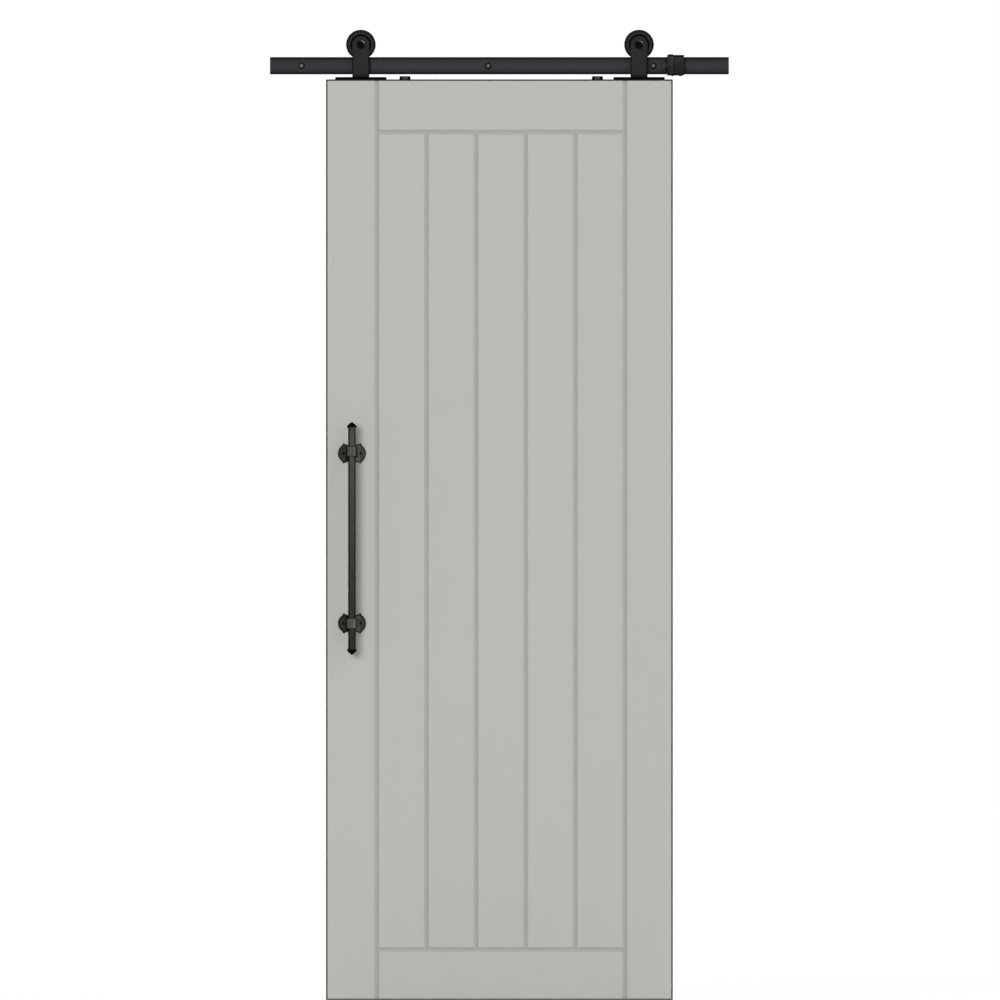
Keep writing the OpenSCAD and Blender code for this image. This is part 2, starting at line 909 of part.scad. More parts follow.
module disc_screws() {
    color(black_colour)
        for (disc_x = disc_places)
            translate([disc_x, door_y, door_top_z + disc_h])
                countersunk_screw(plate_head_r, plate_shank_r, disc_screw_l);
}

module handle_bar() {
    color(iron_colour)
        translate([handle_x, bar_y, handle_z - bar_l / 2])
            difference() {
                linear_extrude(bar_l)
                    eased_rectangle(bar_w, bar_w, bar_edge);
                for (peg_z = [-overrun, bar_l - peg_l - peg_fit])
                    translate([0, 0, peg_z])
                        cylinder(r = peg_r + peg_fit, h = peg_l + peg_fit + overrun);
            }
}

// Side view of a finial, from the end of the bar to its point
module finial_outline() {
    bend_x = finial_bend_width_share * finial_w / 2;
    bend_z = finial_flare + finial_bend_share * finial_point;
    polygon([
        [-bar_w / 2, 0], [bar_w / 2, 0], [finial_w / 2, finial_flare], [bend_x, bend_z],
        [0, finial_flare + finial_point], [-bend_x, bend_z], [-finial_w / 2, finial_flare]
    ]);
}

// Four-sided point with a peg that sits in the end of the bar
module finial() {
    color(iron_colour)
        union() {
            intersection() {
                translate([0, finial_w / 2, 0])
                    toward_front(finial_w)
                        finial_outline();
                translate([-finial_w / 2, 0, 0])
                    along_x(finial_w)
                        finial_outline();
            }
            translate([0, 0, -peg_l])
                cylinder(r = peg_r, h = peg_l + finial_flare);
        }
}

module upper_finial() {
    translate([handle_x, bar_y, handle_z + bar_l / 2])
        finial();
}

module lower_finial() {
    translate([handle_x, bar_y, handle_z - bar_l / 2])
        rotate([180, 0, 0])
            finial();
}

// Outline of a bracket plate: two round lobes, four cusps and a hollow at top and foot
module bracket_outline() {
    cusp_root_x = cusp_x - cusp_w / 2;
    cusp_heel_x = cusp_x + cusp_w / 4;
    cusp_heel_z = sqrt(lobe_r * lobe_r - (cusp_heel_x - lobe_x) * (cusp_heel_x - lobe_x));
    difference() {
        union() {
            for (side = [-1, 1])
                translate([side * lobe_x, 0])
                    circle(lobe_r);
            for (side_x = [-1, 1], side_z = [-1, 1])
                polygon([
                    [side_x * cusp_root_x, 0], [side_x * cusp_heel_x, 0],
                    [side_x * cusp_heel_x, side_z * cusp_heel_z],
                    [side_x * cusp_x, side_z * bracket_h / 2],
                    [side_x * cusp_root_x, side_z * (bracket_h / 2 - cusp_dip / 2)]
                ]);
        }
        for (side_z = [-1, 1])
            translate([0, side_z * (bracket_h / 2 - cusp_dip + dip_r)])
                circle(dip_r);
    }
}

// Shaped plate, stem and collar of one bracket, the collar set off by a rise
module bracket(plate_z, rise) {
    collar_w = bar_w + 2 * collar_t;
    stem_l = finger_room - bracket_t - collar_t;
    color(iron_colour)
        translate([handle_x, door_front_y, plate_z])
            difference() {
                union() {
                    toward_front(bracket_t)
                        bracket_outline();
                    translate([-stem_w / 2, -bracket_t - stem_l - collar_t / 2, rise - stem_h / 2])
                        cube([stem_w, stem_l + collar_t / 2 + bracket_t / 2, stem_h]);
                    translate([0, bar_y - door_front_y, rise - collar_h / 2])
                        linear_extrude(collar_h)
                            eased_rectangle(collar_w, collar_w, collar_edge);
                }
                translate([0, bar_y - door_front_y, rise - collar_h / 2 - overrun])
                    linear_extrude(collar_h + 2 * overrun)
                        eased_rectangle(bar_w + 2 * bar_fit, bar_w + 2 * bar_fit, bar_edge);
                for (side = [-1, 1])
                    translate([side * bracket_screw_x, -bracket_t, 0])
                        facing_front()
                            countersunk_hole(bracket_head_r, bracket_shank_r, bracket_t);
            }
}

module handle_screws() {
    color(black_colour)
        for (plate_z = bracket_places, side = [-1, 1])
            translate([handle_x + side * bracket_screw_x, door_front_y - bracket_t, plate_z])
                facing_front()
                    countersunk_screw(bracket_head_r, bracket_shank_r, bracket_screw_l);
}

rail();
rail_spacers();
rail_bolts();
stop_clamp();
stop_buffers();
stop_set_screws();
left_stile();
right_stile();
top_rail();
bottom_rail();
plank(1);  // plank_1
plank(2);  // plank_2
plank(3);  // plank_3
plank(4);  // plank_4
plank(5);  // plank_5
frame_dowels();
side_band(door_left_x);  // left_band
side_band(door_right_x - band_t);  // right_band
level_band(door_top_z - band_t);  // top_band
level_band(door_foot_z);  // bottom_band
hanger(left_hanger_x);  // left_hanger
hanger(right_hanger_x);  // right_hanger
hanger_screws();
axle_bolts();
axle_bushes();
axle_nuts();
inner_ring(left_hanger_x);  // left_inner_ring
inner_ring(right_hanger_x);  // right_inner_ring
wheel(left_hanger_x);  // left_wheel
wheel(right_hanger_x);  // right_wheel
outer_ring(left_hanger_x);  // left_outer_ring
outer_ring(right_hanger_x);  // right_outer_ring
shields(left_hanger_x);  // left_shields
shields(right_hanger_x);  // right_shields
balls(left_hanger_x);  // left_balls
balls(right_hanger_x);  // right_balls
disc(disc_places[0]);  // left_disc
disc(disc_places[1]);  // right_disc
disc_screws();
handle_bar();
upper_finial();
lower_finial();
bracket(bracket_places[0], upper_collar_rise);  // upper_bracket
bracket(bracket_places[1], 0);  // lower_bracket
handle_screws();
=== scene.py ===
"""Looks of a sliding barn door: painted plank leaf, flat rail, roller hangers and a forged pull.

Metres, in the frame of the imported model: X runs right along the rail, Y runs back to the wall and Z runs up.
"""

import json
import math

import bmesh
import bpy
from bpy.props import FloatProperty, FloatVectorProperty, PointerProperty
from mathutils import Matrix, Vector, noise


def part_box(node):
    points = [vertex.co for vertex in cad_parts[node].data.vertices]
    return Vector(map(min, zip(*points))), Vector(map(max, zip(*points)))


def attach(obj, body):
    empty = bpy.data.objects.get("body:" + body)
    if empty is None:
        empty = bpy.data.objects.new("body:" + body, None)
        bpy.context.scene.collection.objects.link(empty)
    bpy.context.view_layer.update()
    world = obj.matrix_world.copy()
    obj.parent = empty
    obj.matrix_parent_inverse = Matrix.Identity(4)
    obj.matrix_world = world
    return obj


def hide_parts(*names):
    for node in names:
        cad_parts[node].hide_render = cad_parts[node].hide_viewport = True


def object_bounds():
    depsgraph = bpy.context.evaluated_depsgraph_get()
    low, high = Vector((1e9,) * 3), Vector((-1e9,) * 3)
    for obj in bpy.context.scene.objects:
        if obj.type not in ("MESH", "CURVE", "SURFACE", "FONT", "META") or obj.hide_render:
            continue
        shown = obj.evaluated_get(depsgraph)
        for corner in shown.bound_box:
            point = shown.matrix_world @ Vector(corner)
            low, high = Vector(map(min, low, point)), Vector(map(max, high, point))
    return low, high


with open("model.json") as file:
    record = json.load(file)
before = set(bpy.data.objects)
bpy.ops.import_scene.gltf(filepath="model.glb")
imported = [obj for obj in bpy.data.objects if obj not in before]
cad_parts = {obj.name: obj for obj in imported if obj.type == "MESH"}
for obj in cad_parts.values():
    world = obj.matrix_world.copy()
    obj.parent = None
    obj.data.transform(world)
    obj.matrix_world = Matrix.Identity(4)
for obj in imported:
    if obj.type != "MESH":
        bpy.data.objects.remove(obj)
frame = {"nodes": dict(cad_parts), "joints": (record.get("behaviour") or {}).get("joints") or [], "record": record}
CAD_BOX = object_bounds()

bl_info = {
    "name": "Sliding barn door",
    "version": (1, 0, 0),
    "blender": (4, 5, 0),
    "location": "View3D > Sidebar > Barn Door",
    "description": "Builds the looks of a plank barn door on its rail",
    "category": "Object",
}

COLOURS = {each["slot"]: each["base_color"][:3] for each in frame["record"]["materials"]}
X, Y, Z = range(3)
# Sides of a board: the axis and the end of it
SIDES = {"left": (X, 0), "right": (X, 1), "foot": (Z, 0), "top": (Z, 1)}
PAIR = ("left", "right")
# Turns a shape along Z to the front, and a hexagon by half a side
FRONT = Matrix.Rotation(math.radians(90), 4, "X")
HALF_SIDE = Matrix.Rotation(math.radians(30), 4, "Z")
# Steps round a screw head
ROUND = 48
# Distances at which points count as one
NEAR = 1e-5
TINY = 1e-6


def length(name, description, default):
    """A size that the sidebar shows in scene units."""
    return FloatProperty(
        name=name, description=description, default=default, min=0, unit="LENGTH", precision=4
    )


def share(name, description, default):
    """A plain number that the sidebar shows."""
    return FloatProperty(name=name, description=description, default=default, min=0)


def colour(name, description, slot):
    """A colour that starts from the record's material slot."""
    return FloatVectorProperty(
        name=name, description=description, default=COLOURS[slot], subtype="COLOR", size=3, min=0, max=1
    )


class LeafSettings(bpy.types.PropertyGroup):
    """Sizes and colours of the plank leaf"""

    vee_depth: length("V depth", "Depth of the V grooves between the boards", 0.006)
    arris: length("Arris", "Rounding of the boards' edges", 0.0008)
    # The next two are painted light on the V slopes that face right and painted shade on those that face left
    vee_painted_light: share("Pale slope", "How much paler the paint is on the slopes that face right", 0.075)
    vee_painted_shade: share("Deep slope", "How much deeper the paint is on the slopes that face left", 0.11)
    band_edge: length("Band edge", "Rounding of the edge bands", 0.0005)
    paint: colour("Paint", "Paint on the boards", "leaf_paint")
    band: colour("Band", "Dark edging round the leaf", "edge_band")


class TrackSettings(bpy.types.PropertyGroup):
    """Sizes and colours of the rail, its bolts and the stop"""

    rail_edge: length("Rail edge", "Rounding of the rail's edges", 0.001)
    spacer_bore: length("Spacer bore", "Radius of the spacers' bore", 0.0042)
    spacer_edge: length("Spacer edge", "Chamfer of the spacers", 0.0012)
    bolt_head: length("Bolt head", "Width of the wall bolts' heads across their flats", 0.013)
    bolt_shank: length("Bolt shank", "Radius of the wall bolts' plain shank", 0.004)
    bolt_point: length("Bolt point", "Length of the wall bolts' point", 0.008)
    thread_root: length("Thread root", "Radius of the wall bolts between the threads", 0.0028)
    thread_crest: length("Thread crest", "Radius of the wall bolts over the threads", 0.0038)
    thread_pitch: length("Thread pitch", "Pitch of the wall bolts' thread", 0.003)
    stop_edge: length("Stop edge", "Rounding of the stop's edges", 0.0012)
    stop_head: length("Stop head", "Width of the stop's tall part", 0.0145)
    stop_step: length("Stop step", "Height of the step on top of the stop", 0.0015)
    stop_nose: length("Stop nose", "Chamfer at the stop's upper left", 0.003)
    grub_socket: length("Grub socket", "Width of the set screws' sockets", 0.003)
    rail: colour("Rail", "Coat of the rail", "rail_coat")
    coat: colour("Black coat", "Coat of bolts, stop and hangers", "black_coat")
    rubber: colour("Rubber", "Rubber of the buffers", "buffer_rubber")


class HangerSettings(bpy.types.PropertyGroup):
    """Sizes and colours of the hangers and wheels"""

    plate: length("Plate", "Thickness of the base plates", 0.0055)
    plate_round: length("Plate ends", "Rounding of the base plates' upper ends", 0.002)
    strap: length("Strap", "Thickness of the straps", 0.006)
    strap_front: length("Strap front", "Distance of the straps' front from the wall", 0.057)
    strap_edge: length("Strap edge", "Rounding of the strap's edges", 0.0009)
    # The straps' dark border is painted shade
    strap_shade_border: length("Strap border", "Width of the dark border round the straps", 0.0018)
    weld: length("Weld", "Radius of the weld bead at the strap's foot", 0.0022)
    axle: length("Axle", "Radius of the axle bolts", 0.005)
    axle_head: length("Axle head", "Radius of the axle bolts' heads", 0.0098)
    axle_socket: length("Axle socket", "Width of the axle bolts' sockets", 0.007)
    nut: length("Nut", "Width of the axle nuts across their flats", 0.017)
    wheel_ring: length("Wheel ring", "Width of the flat ring at the wheel's rim", 0.006)
    wheel_hub: length("Wheel hub", "Radius of the wheel's hub", 0.0175)
    wheel_dish: length("Wheel dish", "Depth of the dish between ring and hub", 0.0015)
    wheel_slot: length("Wheel slot", "Width of the groove's floor", 0.0075)
    wheel_edge: length("Wheel edge", "Rounding of the wheel's turned edges", 0.0004)
    screw_head: length("Screw head", "Head radius of the plates' and discs' screws", 0.0046)
    screw_shank: length("Screw shank", "Shank radius of the plates' and discs' screws", 0.0024)
    screw_socket: length("Screw socket", "Socket width of the plates' and discs' screws", 0.004)
    plate_screw: length("Plate screw", "Length of the plates' screws", 0.045)
    disc_screw: length("Disc screw", "Length of the discs' screws", 0.04)
    screw_x: length("Screw place along", "Distance of the screws from the plate's middle along it", 0.048)
    screw_y: length("Screw place across", "Distance of the screws from the plate's middle across it", 0.008)
    nylon: colour("Nylon", "Nylon of wheels and discs", "wheel_nylon")
    steel: colour("Steel", "Steel of bearings and nuts", "bearing_steel")


class HandleSettings(bpy.types.PropertyGroup):
    """Sizes and colours of the forged pull"""

    dent: length("Dent", "Depth of the hammer marks", 0.00035)
    dent_size: length("Dent size", "Width of a hammer mark", 0.009)
    bar_edge: length("Bar edge", "Rounding of the bar's edges", 0.002)
    point_edge: length("Point edge", "Rounding of the pointed ends' edges", 0.0007)
    plate: length("Plate", "Thickness of the bracket plates", 0.003)
    plate_w: length("Plate width", "Width of the bracket plates over their lobes", 0.065)
    plate_h: length("Plate height", "Height of the bracket plates from cusp to cusp", 0.0476)
    lobe: length("Lobe", "Radius of the round lobes", 0.0228)
    cusp: length("Cusp", "Distance of a cusp from the plate's middle", 0.0202)
    cusp_foot: length("Cusp foot", "How far the outer foot of a cusp lies beside its tip", 0.00225)
    dip: length("Dip", "Depth of the hollow between two cusps", 0.0056)
    plate_edge: length("Plate edge", "Rounding of the bracket plates", 0.0008)
    # The plates' dark rim is painted shade
    plate_shade_rim: length("Plate rim", "Width of the shaded rim round the bracket plates", 0.0019)
    stem_w: length("Stem width", "Width of the stems", 0.013)
    stem_h: length("Stem height", "Height of the stems", 0.019)
    stem_edge: length("Stem edge", "Rounding of the stems' edges", 0.0012)
    collar: length("Collar", "Wall of the collars round the bar", 0.002)
    collar_h: length("Collar height", "Height of the collars", 0.0235)
    collar_chamfer: length("Collar chamfer", "Chamfer along the collars' upright edges", 0.003)
    collar_edge: length("Collar edge", "Rounding of the collars' ends", 0.0011)
    collar_rise: length("Collar rise", "How far the upper collar sits above its plate's middle", 0.005)
    screw_head: length("Screw head", "Head radius of the plates' screws", 0.0032)
    screw_shank: length("Screw shank", "Shank radius of the plates' screws", 0.0017)
    screw_socket: length("Screw socket", "Socket width of the plates' screws", 0.0026)
    screw: length("Screw", "Length of the plates' screws", 0.028)
    screw_x: length("Screw place", "Distance of the screws from the plate's middle", 0.02)
    iron: colour("Iron", "Dark iron of the pull", "forged_iron")


class StageSettings(bpy.types.PropertyGroup):
    """Camera and light"""

    view_width: length("View width", "Width of the picture at the leaf's front", 2.318)
    distance: length("Camera distance", "Distance of the camera from the leaf's front", 100)
    aim: FloatVectorProperty(
        name="Aim",
        description="Middle of the picture, along X and along Z",
        default=(0.02735, -1.00695),
        size=2,
        unit="LENGTH",
        precision=4,
    )
    key: share("Key light", "Soft light from the left of the camera", 0.544)
    side: share("Side light", "Broad light from the right", 0.254)
    glint: share("Glint light", "Small weak light from the upper right that draws glints on dark metal", 0.05)
    front_fill: share("Front fill", "Even light from the camera's side", 0.151)
    back_fill: share("Back fill", "Even light from behind the leaf", 1.1)
    floor_drop: length("Floor drop", "How far the floor lies below the leaf", 0.01)
    floor_radius: length("Floor radius", "Radius of the floor", 60)
    floor_glow: share("Floor glow", "How bright the floor looks to the camera", 1.22)


# Meshes


def start():
    """An empty mesh with the face marks that the finishes read."""
    bm = bmesh.new()
    for name in ("edge", "tone", "highlight"):
        bm.faces.layers.float.new(name)
    return bm


def mark(bm, faces, name, value):
    """Writes a face mark."""
    layer = bm.faces.layers.float[name]
    for face in faces:
        face[layer] = value


def added(bm, before):
    """The points that aren't in an earlier set."""
    return [point for point in bm.verts if point not in before]


def faces_of(points):
    """The faces round some points."""
    return list(dict.fromkeys(face for point in points for face in point.link_faces))


def edges_of(points):
    """The edges round some points."""
    return list(dict.fromkeys(edge for point in points for edge in point.link_edges))


def reach(edge, axis):
    """How far an edge runs along an axis."""
    return abs(edge.verts[0].co[axis] - edge.verts[1].co[axis])


def lies(edge, axis, place):
    """Whether an edge lies at one place along an axis."""
    return all(abs(point.co[axis] - place) < TINY for point in edge.verts)


def sharp(edges, degrees):
    """The edges that fold by more than an angle."""
    return [
        edge
        for edge in edges
        if len(edge.link_faces) == 2 and edge.calc_face_angle(0) > math.radians(degrees)
    ]


def bevel(bm, edges, width, segments):
    """Cuts or rounds edges and gives the new faces."""
    made = bmesh.ops.bevel(
        bm,
        geom=edges,
        offset=width,
        offset_type="OFFSET",
        segments=segments,
        profile=0.5,
        affect="EDGES",
        clamp_overlap=True,
        material=-1,
    )
    return made["faces"]


def soften(bm, edges, radius, segments=3):
    """Rounds edges and marks the new faces as edge."""
    mark(bm, bevel(bm, edges, radius, segments), "edge", 1)


def border(bm, width):
    """Insets the largest front face and marks the rim round it as edge."""
    bm.normal_update()
    flat = max((face for face in bm.faces if face.normal.y < -0.99), key=lambda face: face.calc_area())
    rim = bmesh.ops.inset_region(bm, faces=[flat], thickness=width, use_even_offset=True)["faces"]
    mark(bm, rim, "edge", 1)


def block(bm, low, high):
    """A box from corner to corner."""
    low, high = Vector(low), Vector(high)
    place = Matrix.Translation((low + high) / 2) @ Matrix.Diagonal((*(high - low), 1))
    return bmesh.ops.create_cube(bm, size=1, matrix=place)["verts"]


def eased_block(bm, low, high, radius):
    """A box with rounded edges."""
    soften(bm, edges_of(block(bm, low, high)), radius)


def spun(bm, outline, steps, closed=False):
    """Spins an outline of radius and height about Z and gives its points."""
    before = set(bm.verts)
    points = [bm.verts.new((r, 0, h)) for r, h in outline]
    pairs = list(zip(points, points[1:]))
    if closed:
        pairs.append((points[-1], points[0]))
    lines = [bm.edges.new(pair) for pair in pairs]
    bmesh.ops.spin(
        bm, geom=points + lines, cent=(0, 0, 0), axis=(0, 0, 1), angle=math.tau, steps=steps, use_merge=True
    )
    bmesh.ops.remove_doubles(bm, verts=added(bm, before), dist=TINY)
    return added(bm, before)


def settle(bm, before, place):
    """Turns the faces of new points outwards and puts them in place."""
    points = added(bm, before)
    bmesh.ops.recalc_face_normals(bm, faces=faces_of(points))
    bmesh.ops.transform(bm, matrix=place, verts=points)
    return points


def turned(bm, outline, place, steps=64, closed=False, radius=0, segments=2):
    """A spun outline, put in place, with rounded edges."""
    before = set(bm.verts)
    spun(bm, outline, steps, closed)
    points = settle(bm, before, place)
    if radius:
        soften(bm, sharp(edges_of(points), 25), radius, segments)


def thicken(bm, lines, depth):
    """Fills a closed outline, thickens it and gives all its points."""
    face = bmesh.ops.edgeloop_fill(bm, edges=lines)["faces"]
    grown = bmesh.ops.extrude_face_region(bm, geom=face, use_keep_orig=True)["geom"]
    points = [each for each in grown if isinstance(each, bmesh.types.BMVert)]
    bmesh.ops.translate(bm, vec=depth, verts=points)
    shell = list(dict.fromkeys(faces_of(points) + face))
    bmesh.ops.recalc_face_normals(bm, faces=shell)
    return list(dict.fromkeys(point for each in shell for point in each.verts))


def ring(bm, radius, height, hexagon=True):
    """The points and edges of a level hexagon with its corners at a radius, or of a circle."""
    place = Matrix.Translation((0, 0, height))
    points = bmesh.ops.create_circle(bm, segments=ROUND, radius=radius, matrix=place)["verts"]
    if hexagon:
        sixth = math.radians(60)
        for point in points:
            turn = math.atan2(point.co.y, point.co.x) % sixth - sixth / 2
            point.co.xy *= math.cos(sixth / 2) / math.cos(turn)
    return points, edges_of(points)


def corner_radius(width):
    """Distance of a hexagon's corners from its middle, from its width across the flats."""
    return width / 2 / math.cos(math.radians(30))


def hex_solid(bm, width, low, high, place, top_share=0.95):
    """A hexagon with its corners turned off at the top."""
    before = set(bm.verts)
    corner_r = corner_radius(width)
    flat_r = top_share * width / 2
    # Drop of the turned corners for each length outwards
    fall = 0.58
    foot = ring(bm, corner_r, low)[1]
    points, rim = ring(bm, corner_r, high)
    for point in points:
        point.co.z -= fall * (point.co.xy.length - flat_r)
    top = ring(bm, flat_r, high, False)[1]
    for lines in (foot + rim, rim + top):
        bmesh.ops.bridge_loops(bm, edges=lines)
    for lines in (foot, top):
        bmesh.ops.edgeloop_fill(bm, edges=lines)
    settle(bm, before, place)


def socket_head(bm, outline, place, socket, depth):
    """A turned head whose outline starts on the axis and ends at the rim of a hex socket."""
    before = set(bm.verts)
    points = spun(bm, outline, ROUND)
    rim = [edge for edge in edges_of(points) if edge.is_boundary]
    height = outline[-1][1]
    mouth = ring(bm, corner_radius(socket), height)[1]
    floor = ring(bm, corner_radius(socket), height - depth)[1]
    for lines in (rim + mouth, mouth + floor):
        bmesh.ops.bridge_loops(bm, edges=lines)
    bmesh.ops.edgeloop_fill(bm, edges=floor)
    settle(bm, before, place)


def thread(bm, root, crest, pitch, turns, place, steps=24):
    """A screw thread that climbs along Z from zero. Its section is in shares of the pitch."""
    before = set(bm.verts)
    inner = 0.9 * root
    section = [(inner, 0.25), (crest, 0.6), (crest, 0.7), (inner, 1.05)]
    points = [bm.verts.new((r, 0, climb_share * pitch)) for r, climb_share in section]
    highlight_ring = bm.faces.new(points)
    bmesh.ops.spin(
        bm,
        geom=[highlight_ring, *highlight_ring.edges, *points],
        cent=(0, 0, 0),
        axis=(0, 0, 1),
        dvec=(0, 0, pitch / steps),
        angle=math.tau * turns,
        steps=steps * turns,
    )
    settle(bm, before, place)


def repeat(bm, moves):
    """Copies all of a mesh by each of some moves."""
    whole = bm.verts[:] + bm.edges[:] + bm.faces[:]
    for move in moves:
        made = bmesh.ops.duplicate(bm, geom=whole)["geom"]
        points = [each for each in made if isinstance(each, bmesh.types.BMVert)]
        bmesh.ops.translate(bm, vec=move, verts=points)


def hammer(bm, depth, size):
    """Presses shallow dents into a surface, on a slow sway."""
    brim, swell, sway_size, sway_share = 0.9, 1.6, 3 * size, 0.5
    bm.normal_update()
    moves = {}
    for point in bm.verts:
        near = min(noise.voronoi(point.co / size)[0][0], brim)
        sway = noise.noise(point.co / sway_size)
        moves[point] = point.normal * depth * (swell * near - 1 + sway_share * sway)
    for point, move in moves.items():
        point.co += move


def piece(bm, name, body, finish, nodes, smooth=35):
    """Turns a mesh into a piece that rides on a body and stands for CAD nodes."""
    bm.normal_update()
    for face in bm.faces:
        face.smooth = True
    for edge in bm.edges:
        edge.smooth = len(edge.link_faces) == 2 and edge.calc_face_angle(0) < math.radians(smooth)
    made = shown(bm, name, finish)
    even = made.modifiers.new("Even normals", "WEIGHTED_NORMAL")
    even.keep_sharp = True
    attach(made, body)
    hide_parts(*nodes)


def shown(bm, name, finish):
    """Turns a mesh into an object of the scene."""
    mesh = bpy.data.meshes.new(name)
    bm.to_mesh(mesh)
    bm.free()
    mesh.materials.append(finish)
    made = bpy.data.objects.new(name, mesh)
    bpy.context.scene.collection.objects.link(made)
    return made


def dress(nodes, finish):
    """Gives CAD nodes a finish."""
    for name in nodes:
        for slot in frame["nodes"][name].material_slots:
            slot.material = finish


# Places


def middle(node):
    """Middle of a CAD node's box."""
    low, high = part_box(node)
    return (low + high) / 2


def bolt_spots():
    """Places of the wall bolts along the rail."""
    return [each["pos_m"][0] for each in frame["record"]["mounts"]]


def axle_spot(side):
    """Middle of a wheel, from its joint."""
    return next(Vector(each["pos_m"]) for each in frame["joints"] if each["name"] == side + "_wheel_spin")


def wheel_ratio(side):
    """Turn of a wheel for a metre of slide, from its coupling."""
    couplings = frame["record"]["behaviour"]["couplings"]
    return next(each["ratio"] for each in couplings if each["joint"] == side + "_wheel_spin")


# Finishes


class Wire:
    """What a node gives, so that shader maths reads as plain maths."""

    def __init__(self, tree, socket):
        self.tree, self.socket = tree, socket

    def maths(self, operation, first, second=0.0):
        """One step of maths on numbers."""
        return self.tree.node("ShaderNodeMath", {"operation": operation}, {0: first, 1: second})

    def __add__(self, other):
        return self.maths("ADD", self, other)

    def __radd__(self, other):
        return self.maths("ADD", other, self)

    def __sub__(self, other):
        return self.maths("SUBTRACT", self, other)

    def __rsub__(self, other):
        return self.maths("SUBTRACT", other, self)

    def __mul__(self, other):
        return self.maths("MULTIPLY", self, other)

    def __rmul__(self, other):
        return self.maths("MULTIPLY", other, self)

    def __abs__(self):
        return self.maths("ABSOLUTE", self)

    def sway(self, amount):
        """Noise from 0 to 1 as a swing about zero."""
        return amount * (self - 0.5)


class Tree:
    """A node tree written as expressions."""

    def __init__(self, tree):
        self.tree = tree

    def node(self, kind, settings=None, inputs=None, output=0):
        """Makes a node of a type, with its settings first and then the values or links of its sockets."""
        made = self.tree.nodes.new(kind)
        for name, value in (settings or {}).items():
            setattr(made, name, value)
        self.feed(made, inputs or {})
        return Wire(self, made.outputs[output])

    def feed(self, made, inputs):
        """Sets or links a node's sockets."""
        for name, value in inputs.items():
            if isinstance(value, Wire):
                self.tree.links.new(value.socket, made.inputs[name])
            else:
                made.inputs[name].default_value = value

    def vector(self, operation, first, inputs, output=0):
        """Maths on a place or a colour."""
        return self.node("ShaderNodeVectorMath", {"operation": operation}, {0: first, **inputs}, output)

    def place(self, centre=(0, 0, 0), scale=(1, 1, 1)):
        """Object coordinates from a centre, stretched by a scale."""
        spot = self.node("ShaderNodeTexCoord", output="Object")
        if tuple(centre) != (0, 0, 0):
            spot = self.vector("SUBTRACT", spot, {1: tuple(centre)})
        if tuple(scale) != (1, 1, 1):
            spot = self.vector("MULTIPLY", spot, {1: tuple(scale)})
        return spot

    def along(self, spot, axis):
        """One of the three numbers of a place."""
        return self.node("ShaderNodeSeparateXYZ", None, {0: spot}, axis)

    def cloud(self, spot, scale, detail=2, rough=0.5):
        """Soft noise from 0 to 1."""
        values = {"Vector": spot, "Scale": scale, "Detail": detail, "Roughness": rough}
        return self.node("ShaderNodeTexNoise", None, values)

    def mark(self, name):
        """A face mark of the piece."""
        return self.node("ShaderNodeAttribute", {"attribute_name": name}, output="Fac")

    def rise(self, value, low, high, first=0.0, last=1.0):
        """A smooth step from one number to another as a value goes from low to high."""
        values = {"Value": value, "From Min": low, "From Max": high, "To Min": first, "To Max": last}
        return self.node("ShaderNodeMapRange", {"interpolation_type": "SMOOTHSTEP"}, values)

    def ray(self, kind):
        """1 for one kind of ray of light and 0 for the others."""
        return self.node("ShaderNodeLightPath", output=f"Is {kind} Ray")

    def shade(self, tint, factor):
        """A colour made lighter or darker."""
        return self.vector("SCALE", tint if isinstance(tint, Wire) else tuple(tint), {"Scale": factor})

    def blend(self, factor, first, second):
        """A colour between two."""
        first, second = ((*each, 1) if not isinstance(each, Wire) else each for each in (first, second))
        return self.node("ShaderNodeMix", {"data_type": "RGBA"}, {0: factor, 6: first, 7: second}, 2)

    def bump(self, height, distance, strength):
        """A relief for the normal."""
        values = {"Height": height, "Distance": distance, "Strength": strength}
        return self.node("ShaderNodeBump", None, values)


class Finish(Tree):
    """A new material, whose shader takes what its tree gives."""

    SOCKETS = {
        "colour": "Base Color",
        "metal": "Metallic",
        "rough": "Roughness",
        "gloss": "Specular IOR Level",
        "normal": "Normal",
    }

    def __init__(self, name):
        old = bpy.data.materials.get(name)
        if old:
            bpy.data.materials.remove(old)
        self.material = bpy.data.materials.new(name)
        self.material.use_nodes = True
        super().__init__(self.material.node_tree)
        self.shader = self.tree.nodes["Principled BSDF"]

    def surface(self, **looks):
        """Sets or links the shader's sockets and gives the material."""
        self.feed(self.shader, {self.SOCKETS[name]: value for name, value in looks.items()})
        return self.material

    def peel(self, size=0.0014):
        """The fine orange peel of a powder coat."""
        spot = self.place()
        return 0.7 * self.cloud(spot, 1 / size) + 0.3 * self.cloud(spot, 3.1 / size)


def leaf_paint(name, tint, along):
    """Sprayed paint with the grain of the board just showing through, a faint painted highlight on the rounded
    arrises and painted light and shade on the V slopes.
    """
    paint = Finish(name)
    spot = paint.place()
    stretch = [24, 24, 24]
    stretch[along] = 1
    grain = paint.cloud(paint.place(scale=stretch), 40, 4, 0.6)
    spray = paint.cloud(spot, 900)
    patch = paint.cloud(spot, 3, 3)
    # The tone mark holds each board's own tone plus the painted light and shade of the V slopes; the edge mark
    # paints a faint highlight on the arrises
    tone = 1 + patch.sway(0.03) + grain.sway(0.03) + paint.mark("tone") + 0.02 * paint.mark("edge")
    return paint.surface(
        colour=paint.shade(tint, tone),
        rough=0.6 + spray.sway(0.1) + patch.sway(0.08),
        gloss=0.3,
        normal=paint.bump(0.7 * grain + 0.3 * spray, 0.00012, 0.5),
    )


